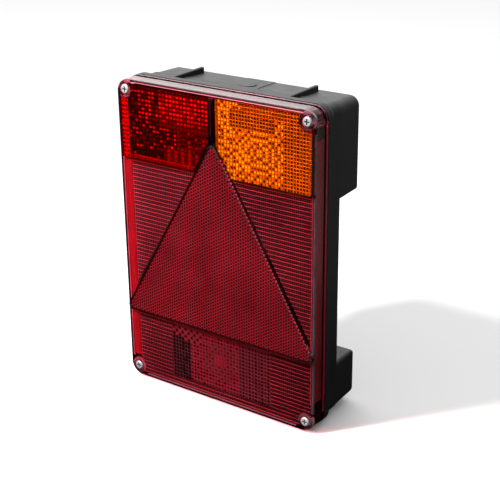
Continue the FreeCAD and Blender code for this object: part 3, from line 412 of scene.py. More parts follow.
def notch(bm, cx, cz, reach):
    """Take away what lies within a circle, and lay the remaining edge on that circle."""
    inside = {v for v in bm.verts if math.hypot(v.co.x - cx, v.co.z - cz) < reach - 1e-6}
    gone = [f for f in bm.faces if all(v in inside for v in f.verts)]
    bmesh.ops.delete(bm, geom=gone, context="FACES")
    for vertex in [v for v in inside if v.is_valid]:
        dx, dz = vertex.co.x - cx, vertex.co.z - cz
        far = math.hypot(dx, dz)
        vertex.co.x, vertex.co.z = cx + dx / far * reach, cz + dz / far * reach


def close_to(bm, height, finish):
    """Give an open sheet side walls and a flat back at a height, in the finish with that number."""
    rim = [edge for edge in bm.edges if edge.is_boundary]
    new = bmesh.ops.extrude_edge_only(bm, edges=rim)["geom"]
    for vertex in (item for item in new if isinstance(item, bmesh.types.BMVert)):
        vertex.co.y = height
    edges = [edge for edge in bm.edges if edge.is_boundary]
    back = bmesh.ops.contextual_create(bm, geom=edges)["faces"]
    for face in back + [item for item in new if isinstance(item, bmesh.types.BMFace)]:
        face.material_index = finish


def polygon_lines(points):
    return [(points[i], points[(i + 1) % len(points)]) for i in range(len(points))]


def mirrored(points):
    return [(-x, z) for x, z in reversed(points)]


def ridge(bm, start, end, wide, low, high, tone=0):
    """A bar with chamfered top edges between two points (x, z)."""
    along = (Vector(end) - Vector(start)).normalized()
    across = Vector((-along.y, along.x))
    chamfer = min(wide, high - low) * 0.3
    section = [(-wide / 2, low), (wide / 2, low), (wide / 2, high - chamfer), (wide / 2 - chamfer, high),
               (chamfer - wide / 2, high), (-wide / 2, high - chamfer)]
    loops = []
    for point in (Vector(start), Vector(end)):
        loops.append([bm.verts.new((point.x + across.x * side, height, point.y + across.y * side))
                      for side, height in section])
    skin(bm, loops, tone)


def turned(bm, cx, cz, profile, sides=32, thread=None):
    """A turned body about Y from (height, radius) points; thread is (low, high, pitch, depth)."""
    rows = []
    for (h0, r0), (h1, r1) in zip(profile, profile[1:]):
        cut = thread and r0 == r1 and thread[0] <= min(h0, h1) and max(h0, h1) <= thread[1]
        steps = round(abs(h1 - h0) / thread[2] * THREAD_STEPS) if cut else 1
        rows += [(h0 + (h1 - h0) * k / steps, r0 + (r1 - r0) * k / steps, bool(cut)) for k in range(steps)]
    rows.append((*profile[-1], False))
    rings = []
    for height, radius, cut in rows:
        if radius == 0:
            rings.append([bm.verts.new((cx, height, cz))] * sides)
            continue
        ring = []
        for k in range(sides):
            reach = radius
            if cut:
                low, high, pitch, depth = thread
                phase = (height / pitch + k / sides) % 1
                run = min(1, (height - low) / pitch, (high - height) / pitch)
                reach -= depth * abs(2 * phase - 1) * max(run, 0)
            angle = 2 * math.pi * k / sides
            ring.append(bm.verts.new((cx + reach * math.cos(angle), height, cz + reach * math.sin(angle))))
        rings.append(ring)
    for low, high in zip(rings, rings[1:]):
        for k in range(sides):
            corners = [low[k], low[(k + 1) % sides], high[(k + 1) % sides], high[k]]
            corners = [v for i, v in enumerate(corners) if v not in corners[:i]]
            if len(corners) > 2:
                bm.faces.new(corners)


def tube(bm, points, radius, sides=8):
    """A round wire along points (x, height, z)."""
    points = [Vector(p) for p in points]
    loops = []
    normal = None
    for i, point in enumerate(points):
        ahead = (points[min(i + 1, len(points) - 1)] - points[max(i - 1, 0)]).normalized()
        if normal is None:
            normal = ahead.orthogonal()
        normal = (normal - normal.dot(ahead) * ahead).normalized()
        other = ahead.cross(normal)
        loops.append([bm.verts.new(point + radius * (math.cos(2 * math.pi * k / sides) * normal
                                                     + math.sin(2 * math.pi * k / sides) * other))
                      for k in range(sides)])
    skin(bm, loops)


def scatter(*numbers):
    """A repeatable random number from 0 to 1."""
    mixed = sum(number * factor for number, factor in zip(numbers, (12.9898, 78.233, 37.719)))
    return (math.sin(mixed) * 43758.5453) % 1.0


# ------------------------------------------------------------------------------ camera
# place in millimetres; azimuth, elevation and roll in degrees
CAMERA_PLACE = (470.1, -651.1, 338.85)
CAMERA_TURN = (35.461, 22.441, -0.6825)

camera_data = bpy.data.cameras.new("camera")
camera_data.lens = 83.6
camera_data.sensor_width = 36.0
camera_data.clip_start = 0.01
camera_data.clip_end = 20.0
camera = bpy.data.objects.new("camera", camera_data)
bpy.context.scene.collection.objects.link(camera)
bpy.context.scene.camera = camera
azimuth, elevation, roll = (math.radians(v) for v in CAMERA_TURN)
behind = Vector((math.sin(azimuth) * math.cos(elevation), -math.cos(azimuth) * math.cos(elevation),
                 math.sin(elevation)))
right = Vector((math.cos(azimuth), math.sin(azimuth), 0))
up = behind.cross(right)
turned_right = math.cos(roll) * right + math.sin(roll) * up
turned_up = math.cos(roll) * up - math.sin(roll) * right
camera.matrix_world = Matrix.Translation(Vector(CAMERA_PLACE) * MM) @ Matrix(
    (turned_right, turned_up, behind)).transposed().to_4x4()

# ------------------------------------------------------------------------------- studio
# grey of the sky from low to high, and the bright backdrop round one direction
SKY_LOW, SKY_HIGH, SKY_STRENGTH = 0.26, 1.0, 0.9
BACKDROP_WAY, BACKDROP_LEVEL = (-0.50, 0.77, 0.40), 2.2
BACKDROP_START, BACKDROP_FULL = 0.62, 0.92
# in metres, the reach of the floor and where it brightens towards the right and the rear; its
# grey for the camera and, darker, the grey that lights the lamp
FLOOR_REACH, FLOOR_SEEN = 6.0, 0.81
FLOOR_GIVES, FLOOR_GIVES_REAR = 0.02, 0.17
FLOOR_RIGHT, FLOOR_REAR = (0.09, 0.30), (0.02, 0.20)
# place and aim in millimetres, power in watts and size in metres
KEY_PLACE, KEY_AIM, KEY_POWER, KEY_SIZE = (-521, -744, 1018), (0, 0, 10), 28.0, 0.16

scene = bpy.context.scene
scene.view_settings.view_transform = "Standard"


def make_world():
    """A sky that lights the lamp, and white for the camera."""
    world = bpy.data.worlds.new("studio")
    scene.world = world
    world.use_nodes = True
    n, l = world.node_tree.nodes, world.node_tree.links
    n.clear()
    where = n.new("ShaderNodeTexCoord")
    split = n.new("ShaderNodeSeparateXYZ")
    l.new(where.outputs["Generated"], split.inputs[0])
    facing = n.new("ShaderNodeVectorMath")
    facing.operation = "DOT_PRODUCT"
    facing.inputs[1].default_value = Vector(BACKDROP_WAY).normalized()
    l.new(where.outputs["Generated"], facing.inputs[0])
    both = n.new("ShaderNodeVectorMath")
    both.operation = "ADD"
    l.new(ramp(n, l, split.outputs["Z"], [(0.0, grey(SKY_LOW)), (1.0, grey(SKY_HIGH))]), both.inputs[0])
    l.new(ramp(n, l, facing.outputs["Value"], [(BACKDROP_START, grey(0)),
                                               (BACKDROP_FULL, grey(BACKDROP_LEVEL))]), both.inputs[1])
    light = n.new("ShaderNodeBackground")
    l.new(both.outputs["Vector"], light.inputs["Color"])
    light.inputs["Strength"].default_value = SKY_STRENGTH
    white = n.new("ShaderNodeBackground")
    white.inputs["Color"].default_value = (1, 1, 1, 1)
    out = n.new("ShaderNodeOutputWorld")
    l.new(by_ray(n, l, "Is Camera Ray", white, light).outputs[0], out.inputs["Surface"])


def make_floor():
    """A pale floor for the camera that gives the lamp little light."""
    floor_mesh = bpy.data.meshes.new("studio_floor")
    reach = FLOOR_REACH
    floor_mesh.from_pydata([(-reach, -reach, FLOOR_Z), (reach, -reach, FLOOR_Z), (reach, reach, FLOOR_Z),
                            (-reach, reach, FLOOR_Z)], [], [(0, 1, 2, 3)])
    floor_obj = bpy.data.objects.new("studio_floor", floor_mesh)
    scene.collection.objects.link(floor_obj)
    material, n, l = new_material("studio_floor")
    pale = n.new("ShaderNodeBsdfDiffuse")
    pale.inputs["Color"].default_value = (*grey(FLOOR_SEEN), 1)
    dim = n.new("ShaderNodeBsdfDiffuse")
    spot = n.new("ShaderNodeNewGeometry")
    axes = n.new("ShaderNodeSeparateXYZ")
    l.new(spot.outputs["Position"], axes.inputs[0])
    corner = n.new("ShaderNodeMath")
    corner.operation = "MULTIPLY"
    l.new(mapped(n, l, axes.outputs["X"], *FLOOR_RIGHT), corner.inputs[0])
    l.new(mapped(n, l, axes.outputs["Y"], *FLOOR_REAR), corner.inputs[1])
    l.new(ramp(n, l, corner.outputs["Value"], [(0.0, grey(FLOOR_GIVES)), (1.0, grey(FLOOR_GIVES_REAR))]),
          dim.inputs["Color"])
    surface(n, l, by_ray(n, l, "Is Camera Ray", pale, dim))
    floor_mesh.materials.append(material)


def make_key_light():
    data = bpy.data.lights.new("key", "AREA")
    data.energy = KEY_POWER
    data.shape = "DISK"
    data.size = KEY_SIZE
    obj = bpy.data.objects.new("key", data)
    scene.collection.objects.link(obj)
    obj.location = Vector(KEY_PLACE) * MM
    obj.rotation_euler = (Vector(KEY_AIM) * MM - obj.location).to_track_quat("-Z", "Y").to_euler()


# ------------------------------------------------------------------------- the reflector
def hex_cells(bounds, level):
    """Corner-cube cells: a raised web round three-faced pits, mirrored about x = 0."""
    x0, x1, z0, z1 = bounds
    bm = bmesh.new()
    columns = int(max(abs(x0), abs(x1)) / CELL_ACROSS) + 2
    rows = int((z1 - z0) / CELL_UP) + 3
    half_up = CELL_UP / 2
    tip = CELL_ACROSS * 2 / 3
    shape = [(-tip, 0), (-tip / 2, -half_up), (tip / 2, -half_up),
             (tip, 0), (tip / 2, half_up), (-tip / 2, half_up)]
    for column in range(-columns, columns + 1):
        cx = column * CELL_ACROSS
        for row in range(rows):
            cz = z0 + (row + 0.5 * (abs(column) % 2)) * CELL_UP - CELL_UP
            if not (x0 - CELL_ACROSS < cx < x1 + CELL_ACROSS and z0 - CELL_UP < cz < z1 + CELL_UP):
                continue
            outer = loop_of(bm, [(cx + x, cz + z) for x, z in shape], level)
            inner = loop_of(bm, [(cx + PIT_SHARE * x, cz + PIT_SHARE * z) for x, z in shape],
                            level - PIT_DROP)
            deep = bm.verts.new((cx, level - CELL_DEPTH, cz))
            for i in range(6):
                j = (i + 1) % 6
                bm.faces.new((outer[i], outer[j], inner[j], inner[i])).material_index = CELL_WEB
            # three rhombic mirrors meet at the deepest point
            for i in (0, 2, 4):
                face = bm.faces.new((inner[i], inner[i + 1], inner[(i + 2) % 6], deep))
                face.material_index = CELL_PIT
    weld(bm)
    return bm


def triangle_plan(inset, count):
    """The triangle drawn in by inset, with count points round each corner."""
    reach = TRI_SIDE / 2 - SLOPE * TRI_CORNER
    foot = TRI_BOTTOM + TRI_CORNER
    points = []
    for cx, cz, middle in ((-reach, foot, 210), (reach, foot, 330), (0, TRI_TOP - 2 * TRI_CORNER, 90)):
        for step in range(count):
            angle = math.radians(middle - 60 + 120 * step / (count - 1))
            points.append((cx + (TRI_CORNER - inset) * math.cos(angle),
                           cz + (TRI_CORNER - inset) * math.sin(angle)))
    return points


def reflex_pieces():
    """Clear raised triangle in front of a sheet of corner-cube cells."""
    back = PLATE_BACK + REFLEX_LIFT
    bm = bmesh.new()
    skin(bm, [loop_of(bm, triangle_plan(inset, 9), height) for inset, height in (
        (0.0, back), (0.0, TRI_FACE - TRI_BEVEL), (TRI_BEVEL * 0.45, TRI_FACE - TRI_BEVEL * 0.35),
        (TRI_BEVEL, TRI_FACE))])
    piece("reflex_front", bm, [reflex_plastic], "lens", ("reflex_triangle",))

    level = back - REFLEX_GAP
    inner, outer = triangle_plan(BORDER_IN, 5), triangle_plan(BORDER_OUT, 5)
    cells = hex_cells((-TRI_SIDE / 2, TRI_SIDE / 2, TRI_BOTTOM, TRI_TOP), level)
    clip(cells, polygon_lines(inner))
    close_to(cells, SHEET_BACK, CELL_BACK)
    piece("reflex_cells", cells, [web_red, pit_painted_reflection, lens_back_red], "lens")

    border = bmesh.new()
    skin(border, [loop_of(border, plan, height) for plan, height in (
        (outer, level), (inner, level), (inner, SHEET_BACK), (outer, SHEET_BACK))], ring=True)
    piece("reflex_border", border, [border_dark], "lens")

    # the rungs lie across the right side of the border, which runs up at 60 degrees; they are painted in the
    # glow red
    rungs = bmesh.new()
    inward = Vector((-math.cos(math.radians(30)), -0.5))
    for number in range(int((TRI_SIDE - RUNG_SPARE) / RUNG_PITCH)):
        along = RUNG_START + number * RUNG_PITCH
        edge = Vector((TRI_SIDE / 2 - along / 2, TRI_BOTTOM + along * SLOPE / 2))
        ridge(rungs, edge + RUNG_OUT * inward, edge + RUNG_IN * inward, RUNG_WIDE,
              level + RUNG_LOW, level + RUNG_HIGH)
    piece("reflex_border_rungs", rungs, [painted_glow_red], "lens")


# --------------------------------------------------------------------------- the windows
def optic_cells(bounds, pitch, level, tones, dot, shade=(-1, 0, 0, 1)):
    """Pillow optics: every cell is a low facetted dome with a dot at its top.

    tones(x, z, column, row) gives the tone of the slopes and of the dot, painted reflections
    and highlights of the lamp's insides; dot is its half size as a share of the cell; shade
    lightens or darkens the slopes at the bottom, right, top and left of each cell as painted
    light and shade.
    """
    relief = 0.4
    x0, x1, z0, z1 = bounds
    columns, rows = round((x1 - x0) / pitch[0]), round((z1 - z0) / pitch[1])
    wide, tall = (x1 - x0) / columns, (z1 - z0) / rows
    bm = bmesh.new()
    for row in range(rows):
        for column in range(columns):
            xa, za = x0 + column * wide, z0 + row * tall
            cx, cz = xa + wide / 2, za + tall / 2
            slope, spot = tones(cx, cz, column, row)
            square = loop_of(bm, [(xa, za), (xa + wide, za), (xa + wide, za + tall), (xa, za + tall)],
                             level - relief)
            ring = []
            for k in range(8):
                angle = math.pi / 4 * (k - 2.5)
                ring.append(bm.verts.new((cx + dot[0] * wide * math.cos(angle), level,
                                          cz + dot[1] * tall * math.sin(angle))))
            top = bm.verts.new((cx, level - relief * 0.6, cz))
            for k in range(4):
                a, b = 2 * k, 2 * k + 1
                tone = min(max(slope + shade[k], BLACK), FLASH) if slope else BLACK
                bm.faces.new((square[k], square[(k + 1) % 4], ring[b], ring[a])).material_index = tone
                bm.faces.new((square[(k + 1) % 4], ring[(b + 1) % 8], ring[b])).material_index = tone
            for k in range(8):
                bm.faces.new((ring[k], ring[(k + 1) % 8], top)).material_index = spot
    weld(bm)
    return bm


def within(x, z, x0, x1, z0, z1):
    return x0 <= x <= x1 and z0 <= z <= z1


# zones of painted reflection in the fog window as x0, x1, z0, z1, and where its borders end
FOG_BRIGHT_ROWS = (-48, -4, 113, 128.5)
FOG_FADING_ROWS = (-48, -4, 104, 113)
FOG_LEFT_FLASHES = (-64, -30, 108, 116)
FOG_LOW_DARK = (-72, -44, 78, 87)
FOG_LOW_STRIPES = (-44, -9, 78, 90)
FOG_BRIGHT_EDGE, FOG_DARK_EDGE, FOG_LOW_EDGE, FOG_TOP_EDGE = -76.5, -72, 79.3, 128.5
FOG_RIGHT, FOG_FADE_FROM, FOG_FADE_OVER = -30, 102, 14


def fog_tones(x, z, column, row):
    """Painted reflections: bright inner edge on the left, bright rows high on the right, black middle."""
    chance = scatter(column, row, 1)
    if x < FOG_BRIGHT_EDGE:
        return (LIGHT, DIM) if chance > 0.25 else (LIGHT, MID)
    if x < FOG_DARK_EDGE:
        return (BLACK, MID) if chance > 0.8 else (BLACK, BLACK)
    if z < FOG_LOW_EDGE:
        return (MID, DIM)
    if z > FOG_TOP_EDGE:
        return (BLACK, DIM) if chance > 0.5 else (BLACK, DARK)
    if within(x, z, *FOG_BRIGHT_ROWS):
        return (DARK, FLASH) if chance > 0.30 else (DARK, MID)
    if within(x, z, *FOG_FADING_ROWS):
        return (DARK, LIGHT) if chance < (z - FOG_FADE_FROM) / FOG_FADE_OVER else (DARK, DIM)
    if within(x, z, *FOG_LEFT_FLASHES):
        return (BLACK, FLASH) if chance > 0.40 else (BLACK, DIM)
    if within(x, z, *FOG_LOW_DARK):
        return (BLACK, MID) if chance > 0.85 else (BLACK, BLACK)
    if within(x, z, *FOG_LOW_STRIPES):
        return (DIM, MID) if column % 2 else (DARK, DARK)
    if x > FOG_RIGHT:
        return (DARK, BLACK) if chance > 0.45 else (DARK, (DIM, MID)[column % 2])
    return (BLACK, LIGHT) if chance > 0.62 else (BLACK, (BLACK, DARK, DIM)[(column + row) % 3])


# zones of painted reflection in the indicator window, where its borders end, and the rings low in its middle
AMBER_DARK_ROWS = (16, 52, 114, 124)
AMBER_LOW_FLASHES = (9, 30, 84, 98)
AMBER_LEFT_EDGE, AMBER_RIGHT_EDGE, AMBER_RIGHT, AMBER_HIGH = 5.9, 79.5, 60, 124
AMBER_HIGH_FLASHES, AMBER_LEFT_FLASHES = 26, 20
RINGS_X, RINGS_Z, RINGS_STRETCH, RINGS_REACH, RINGS_PITCH = 40.8, 99, 1.2, 18, 2.6


def amber_tones(x, z, column, row):
    """Painted reflections: bright yellow flashes on the left and low down, dark dots high up and on the
    right.
    """
    chance = scatter(column, row, 2)
    if x < AMBER_LEFT_EDGE or x > AMBER_RIGHT_EDGE:
        return (DIM, DIM)
    if x > AMBER_RIGHT:
        return (MID, BLACK) if column % 2 else (MID, DARK)
    if within(x, z, *AMBER_DARK_ROWS):
        return (MID, BLACK) if chance > 0.25 else (DIM, DARK)
    if z > AMBER_HIGH:
        return (MID, FLASH) if x < AMBER_HIGH_FLASHES and chance > 0.3 else (MID, DARK)
    if x < AMBER_LEFT_FLASHES:
        return (MID, FLASH) if chance > 0.4 else (MID, BLACK)
    if within(x, z, *AMBER_LOW_FLASHES):
        return (LIGHT, FLASH) if (column + row) % 3 else (MID, DARK)
    far = math.hypot(x - RINGS_X, (z - RINGS_Z) * RINGS_STRETCH)
    if far < RINGS_REACH:
        return (MID, FLASH) if int(far / RINGS_PITCH) % 2 == 0 else (MID, DARK)
    return (MID, (LIGHT, FLASH)[row % 2]) if (column + 2 * row) % 3 else (MID, BLACK)


# zones of painted reflection in the stop lamp; the lower left one is cut off by a slanted line
STOP_FLASH = (-5, 8.5, -75, -66)
STOP_SLANT_X, STOP_SLANT_Z, STOP_SLANT, STOP_DARKEST = -43, -58, 0.4, -36
STOP_LOW_LEFT, STOP_SIDE, STOP_HIGH_LEFT, STOP_HIGH = -26, 18, -14, -64
STOP_X, STOP_Z, STOP_STRETCH, STOP_REACH = 2, -72, 1.15, 17


def stop_tones(x, z, column, row):
    """Painted reflections on a crimson ground with dark dots: darker low on both sides, brighter near the
    middle where the bulb shows.
    """
    chance = scatter(column, row, 3)
    if within(x, z, *STOP_FLASH):
        return (MID, FLASH)
    if x < STOP_LOW_LEFT and z < STOP_SLANT_Z - (x - STOP_SLANT_X) * STOP_SLANT:
        return (DIM, BLACK) if chance > 0.5 or x < STOP_DARKEST else (DARK, BLACK)
    if x > STOP_SIDE:
        return (MID, BLACK) if column % 2 else (MID, DARK)
    if x < STOP_HIGH_LEFT and z > STOP_HIGH:
        return (MID, FLASH) if (column + row) % 2 else (MID, BLACK)
    if math.hypot(x - STOP_X, (z - STOP_Z) * STOP_STRETCH) < STOP_REACH:
        return (LIGHT, DARK) if (column + row) % 2 else (MID, MID)
    return (LIGHT, BLACK) if chance > 0.55 else (LIGHT, DIM)


def window_plan(sign):
    """Outline of an upper window, with the notch round its screw."""
    cx, cz = SCREW_X, MID_Z + SCREW_DZ
    side, top = WINDOW_OUT - cx, WINDOW_TOP - cz
    start = math.atan2(-math.sqrt(WINDOW_NOTCH ** 2 - side ** 2), side) % (2 * math.pi)
    end = math.atan2(top, -math.sqrt(WINDOW_NOTCH ** 2 - top ** 2)) % (2 * math.pi)
    points = [(WINDOW_CUT_X, WINDOW_BOTTOM), (WINDOW_OUT, WINDOW_BOTTOM)]
    for step in range(NOTCH_STEPS + 1):
        angle = start + (end - start) * step / NOTCH_STEPS
        points.append((cx + WINDOW_NOTCH * math.cos(angle), cz + WINDOW_NOTCH * math.sin(angle)))
    points += [(WINDOW_IN, WINDOW_TOP), (WINDOW_IN, WINDOW_CUT_Z)]
    return points if sign > 0 else mirrored(points)


def upper_window(label, node, material, sign, finishes, pitch, tones, dot, shade):
    """A flat clear front over a sheet of pillow optics."""
    middle = FACE - FRONT_THICK
    front = bmesh.new()
    skin(front, [loop_of(front, window_plan(sign), height) for height in (middle, FACE)])
    piece(label + "_window_front", front, [material], "lens", (node,))

    inner, outer = WINDOW_IN + SHEET_MARGIN, WINDOW_OUT - SHEET_MARGIN
    top = WINDOW_TOP - SHEET_MARGIN
    low, high = sorted((sign * inner, sign * outer))
    bm = optic_cells((low, high, WINDOW_BOTTOM + SHEET_MARGIN, top), pitch, middle - FRONT_GAP, tones,
                     dot, shade)
    slant = [(sign * inner, WINDOW_CUT_Z), (sign * (WINDOW_CUT_X + 0.1), WINDOW_BOTTOM)]
    clip(bm, [tuple(slant if sign > 0 else reversed(slant))])
    notch(bm, sign * SCREW_X, MID_Z + SCREW_DZ, WINDOW_NOTCH + SHEET_MARGIN)
    for vertex in bm.verts:
        vertex.co.x = sign * min(sign * vertex.co.x, outer)
        vertex.co.z = min(vertex.co.z, top)
    close_to(bm, SHEET_BACK, TONE_COUNT)
    piece(label + "_window_optics", bm, finishes, "lens")


# ----------------------------------------------------------------------- the red plate
def rib_cells(bounds, level):
    """Horizontal crests with rows of small pits in each band between them."""
    x0, x1, z0, z1 = bounds
    bm = bmesh.new()
    columns = int((x1 - x0) / RIB_PITCH_X) + 2
    rows = int((z1 - z0) / RIB_PITCH_Z) + 2
    band = RIB_PITCH_Z * (1 - CREST_SHARE)
    lane_tall = band / RIB_LANES
    for row in range(rows):
        zb = z0 + row * RIB_PITCH_Z
        peak = zb + (band + RIB_PITCH_Z) / 2
        for column in range(columns):
            xa = x0 + column * RIB_PITCH_X
            xb = xa + RIB_PITCH_X
            for lane in range(RIB_LANES):
                za = zb + lane * lane_tall
                square = loop_of(bm, [(xa, za), (xb, za), (xb, za + lane_tall), (xa, za + lane_tall)], level)
                corners = [((xa + xb) / 2 + RIB_PIT_HALF * RIB_PITCH_X * sx,
                            za + lane_tall / 2 + RIB_PIT_HALF * lane_tall * sz)
                           for sx, sz in ((-1, -1), (1, -1), (1, 1), (-1, 1))]
                ring = loop_of(bm, corners, level)
                deep = loop_of(bm, corners, level - RIB_PIT_DEEP)
                for k in range(4):
                    j = (k + 1) % 4
                    bm.faces.new((square[k], square[j], ring[j], ring[k])).material_index = RIB_GROUND
                    bm.faces.new((ring[k], ring[j], deep[j], deep[k])).material_index = RIB_PIT
                bm.faces.new(deep).material_index = RIB_PIT
            foot, crest, head = (
                [bm.verts.new((x, height, z)) for x in (xa, xb)] for height, z in (
                    (level, zb + band), (level + CREST_RISE, peak), (level, zb + RIB_PITCH_Z)))
            bm.faces.new((foot[0], foot[1], crest[1], crest[0])).material_index = RIB_CREST
            bm.faces.new((crest[0], crest[1], head[1], head[0])).material_index = RIB_CREST
    weld(bm)
    return bm


def rib_sheet(label, corner, points, finishes, screws=()):
    """A ribbed sheet with an outline of (x, z) points; its cells are counted from a corner."""
    spare = 4
    right_end, top_end = (max(values) + spare for values in zip(*points))
    bm = rib_cells((corner[0], right_end, corner[1], top_end), RIB_LEVEL)
    clip(bm, polygon_lines(points))
    for x, z in screws:
        notch(bm, x, z, SCREW_CLEAR)
    close_to(bm, RIB_LEVEL - RIB_THICK, RIB_BACK)
    piece(label + "_rib_optics", bm, finishes, "lens")


def flank(reach):
    """The area beside the triangle, out to reach."""
    at_edge = TRI_BOTTOM + max((TRI_TOP - TRI_BOTTOM) / SLOPE + BAND_GAP - reach, 0) * SLOPE
    at_edge += FLANK_LIFT
    top = WINDOW_BOTTOM - BAND_GAP
    return [(-reach, at_edge), (-reach + FLANK_TIP, at_edge),
            (-(TRI_TOP - WINDOW_BOTTOM) / SLOPE - BAND_GAP, top), (-reach, top)]


def red_zones():
    """Ribbed sheets behind the red plate: both sides, the lower band and the stop lamp."""
    upper = [zone_red, rib_crest_highlight, zone_dot, lens_back_red]
    lower = [lower_red, lower_rib_crest_highlight, zone_dot, lens_back_red]
    for label, points in (("left", flank(GLOW_EDGE)), ("right", mirrored(flank(RIB_EDGE)))):
        rib_sheet(label, (min(x for x, z in points) - 1, TRI_BOTTOM - 3), points, upper)
    crack = STOP_CRACK / 2
    for label, start, end, bottom, top, margin, screws in (
            ("lower_left", -GLOW_EDGE, STOP_LEFT, BAND_BOTTOM, BAND_TOP, 0, SCREWS[2:]),
            ("lower_right", STOP_RIGHT, RIB_EDGE, BAND_BOTTOM, BAND_TOP, 0, SCREWS[2:]),
            ("lower_middle", STOP_LEFT, STOP_RIGHT, BAND_BOTTOM, STOP_BOTTOM - STOP_CRACK, crack, ()),
            ("stop_top", STOP_LEFT, STOP_RIGHT, STOP_TOP + STOP_CRACK, BAND_TOP, crack, ())):
        left_end, right_end = start + margin, end - margin
        rib_sheet(label, (start - 1, BAND_BOTTOM - 2), [(left_end, bottom), (right_end, bottom),
                                                        (right_end, top), (left_end, top)], lower, screws)
    # the stop lamp's cells keep the default painted shade on their lower slopes and painted light on their
    # left ones
    bm = optic_cells((STOP_LEFT + STOP_CRACK, STOP_RIGHT - STOP_CRACK, STOP_BOTTOM, STOP_TOP),
                     (2.85, 2.95), RIB_LEVEL, stop_tones, (0.35, 0.35))
    close_to(bm, RIB_LEVEL - RIB_THICK, TONE_COUNT)
    piece("stop_tail_optics", bm, red_painted_light_tones + [lens_back_red], "lens")


# strips behind the plate: their heights, half length, and ends below and above the windows
STRIP_LOW, STRIP_HIGH = PLATE_BACK - 1.1, PLATE_BACK - 0.08
STRIP_HALF, STRIP_BOTTOM, STRIP_TOP = 70, -90, 119
# strips of painted glow side by side from GLOW_LEFT, the light let in through the left skirt; the upper set
# ends on a slant
GLOW_LEFT, GLOW_WIDTHS, GLOW_CRACK, GLOW_STEP = -82.1, (3.0, 2.4, 1.4), 0.06, 0.1
GLOW_SLANT_X = -82
# height and radius of the rings of painted glow round the screws
RING_PROFILE = ((STRIP_LOW, 4.95), (STRIP_HIGH, 4.95), (STRIP_HIGH, 6.1), (STRIP_LOW, 6.6))
RING_SIDES = 40
LIP_IN, LIP_HALF, LIP_WIDE, LIP_LOW, LIP_HIGH = 0.75, 108, 0.5, 0.7, 1.5
# lining of the skirt: rows, the first one's height, their pitch, height and width
LINING_ROWS, LINING_START, LINING_PITCH, LINING_TALL, LINING_WIDE = 4, 1.6, 2.9, 2.5, 0.7
LINING_X, LINING_Z = HALF_W - 3.5 - 0.4, 119.8 - 3.0 - 0.4
LINING_HALF_Z, LINING_HALF_X = 98, 66


def frame_pieces():
    """Strips behind the lens plate beside the windows, lighter on the left as painted light; strips of
    painted glow on the left edge and the lips; rings of painted glow round the screws; skirt lining.
    """
    bars = bmesh.new()
    top, side, bottom = WINDOW_TOP + 1.6, WINDOW_OUT + 0.8, MID_Z - 118.5
    below, above = WINDOW_BOTTOM - 1, WINDOW_BOTTOM + 1
    # painted light: the bars on the left are lighter than those on the right
    for start, end, wide, tone in (
            ((-STRIP_HALF, top), (STRIP_HALF, top), 1.3, DIM),
            ((-side, STRIP_BOTTOM), (-side, below), 1.2, FLASH),
            ((side, STRIP_BOTTOM), (side, below), 1.2, DIM),
            ((-side, above), (-side, STRIP_TOP), 1.2, MID),
            ((side, above), (side, STRIP_TOP), 1.2, DIM),
            ((-2.2, 104), (-2.2, 131), 0.5, MID),
            ((2.2, 104), (2.2, 131), 0.5, MID),
            ((-STRIP_HALF, bottom), (STRIP_HALF, bottom), 1.1, MID)):
        ridge(bars, start, end, wide, STRIP_LOW, STRIP_HIGH, tone)
    piece("window_frame_strips", bars, red_painted_light_tones, "lens")

    # painted glow along the left edge, where light comes in through the skirt
    glow = bmesh.new()
    for bottom, peak, slant in ((-44, 74, 2.2), (-88, -51, 0)):
        left = GLOW_LEFT
        for number, wide in enumerate(GLOW_WIDTHS):
            x = left + wide / 2
            left += wide
            ridge(glow, (x, bottom + slant * (x - GLOW_SLANT_X)), (x, peak), wide - GLOW_CRACK, STRIP_LOW,
                  STRIP_HIGH - GLOW_STEP * number)
    piece("left_edge_glow_strips", glow, [painted_glow_red], "lens")

    # thin lines of painted glow along the lips of the lens
    lips = bmesh.new()
    for x in (LIP_IN - HALF_W, HALF_W - LIP_IN):
        ridge(lips, (x, MID_Z - LIP_HALF), (x, MID_Z + LIP_HALF), LIP_WIDE,
              LENS_SEAT + LIP_LOW, LENS_SEAT + LIP_HIGH)
    piece("lip_lines", lips, [painted_glow_red], "lens")

    rings = bmesh.new()
    # painted glow round the screws, lighter on the left
    for x, z in SCREWS:
        turns = [2 * math.pi * k / RING_SIDES for k in range(RING_SIDES)]
        skin(rings, [loop_of(rings, [(x + r * math.cos(turn), z + r * math.sin(turn)) for turn in turns],
                             height) for height, r in RING_PROFILE], LIGHT if x < 0 else MID, ring=True)
    piece("screw_well_glow_rings", rings, red_painted_light_tones, "lens")

    lining = bmesh.new()
    for number in range(LINING_ROWS):
        low = LENS_SEAT + LINING_START + number * LINING_PITCH
        for x in (-LINING_X, LINING_X):
            ridge(lining, (x, MID_Z - LINING_HALF_Z), (x, MID_Z + LINING_HALF_Z), LINING_WIDE,
                  low, low + LINING_TALL)
        ridge(lining, (-LINING_HALF_X, MID_Z - LINING_Z), (LINING_HALF_X, MID_Z - LINING_Z), LINING_WIDE,
              low, low + LINING_TALL)
    piece("skirt_lining", lining, [lining_red], "lens")


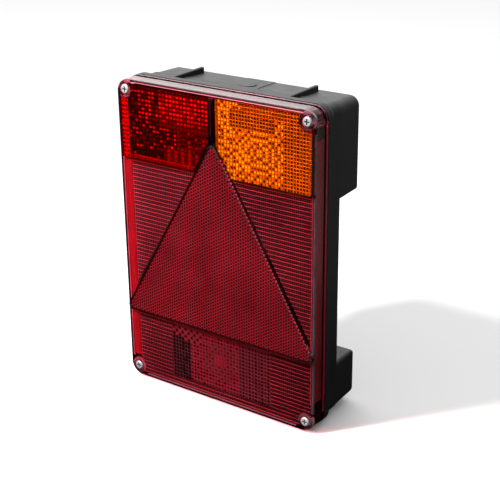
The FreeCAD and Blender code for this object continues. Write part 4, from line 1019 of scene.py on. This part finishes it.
# ------------------------------------------------------------------ studs, springs, bulbs
def hardware():
    """Threaded studs, coiled springs and bulb filaments."""
    for side, sign in (("left", -1), ("right", 1)):
        bm = bmesh.new()
        turned(bm, sign * STUD_X, 0, STUD_PROFILE, thread=STUD_THREAD)
        piece(side + "_stud_thread", bm, [zinc], "base", (side + "_stud",), smooth=25)
    for lamp, cx, cz, coils in BULBS:
        low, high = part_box(lamp + "_contact_spring")
        bottom, top = -high.y / MM + SPRING_WIRE, -low.y / MM - SPRING_WIRE
        points = []
        for k in range(int(SPRING_TURNS * SPRING_STEPS) + 1):
            turn = k / SPRING_STEPS
            # three quarters of a turn lie flat at either end
            rise = min(max((turn - 0.75) / (SPRING_TURNS - 1.5), 0), 1)
            angle = 2 * math.pi * turn
            points.append((cx + SPRING_REACH * math.cos(angle), bottom + (top - bottom) * rise,
                           cz + SPRING_REACH * math.sin(angle)))
        bm = bmesh.new()
        tube(bm, points, SPRING_WIRE)
        spring = piece(lamp + "_coiled_spring", bm, [spring_metal], "base",
                       (lamp + "_contact_spring",), smooth=60)
        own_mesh(spring)

        bm = bmesh.new()
        turned(bm, cx, cz, STEM_PROFILE, sides=20)
        for number in range(coils):
            level = FILAMENT_UP + FILAMENT_STEP * number
            tube(bm, [(cx + FILAMENT_HALF * (k / COIL_STEPS * 2 - 1),
                       level + COIL_REACH * math.cos(k * math.pi / 4),
                       cz + COIL_REACH * math.sin(k * math.pi / 4)) for k in range(COIL_STEPS + 1)],
                 COIL_WIRE, 6)
        peak = FILAMENT_UP + FILAMENT_STEP * (coils - 1)
        for sign in (-1, 1):
            tube(bm, [(cx + sign * out, height, cz) for out, height in (
                (0.8, 5.5), (1.6, 8), (FILAMENT_HALF, 12), (FILAMENT_HALF, peak))], LEAD_WIRE)
        piece(lamp + "_filament_coil", bm, [tungsten], lamp + "_bulb",
              (lamp + "_bulb_filament",), smooth=50)


make_world()
make_floor()
make_key_light()
reflex_pieces()
upper_window("fog", "fog_window", fog_plastic, -1, red_painted_light_tones + [lens_back_red], (3.2, 3.15),
             fog_tones, (0.38, 0.29), (0, 0, 0, 0))
# the indicator's cells get painted shade on their lower and right slopes and painted light on their left
# ones
upper_window("indicator", "indicator_window", amber_plastic, 1,
             amber_painted_light_tones + [lens_back_amber], (2.5, 2.6), amber_tones, (0.33, 0.33), (-2, -1, 0, 1))
red_zones()
frame_pieces()
hardware()

# --------------------------------------------------------------------------------- end
bpy.context.view_layer.update()
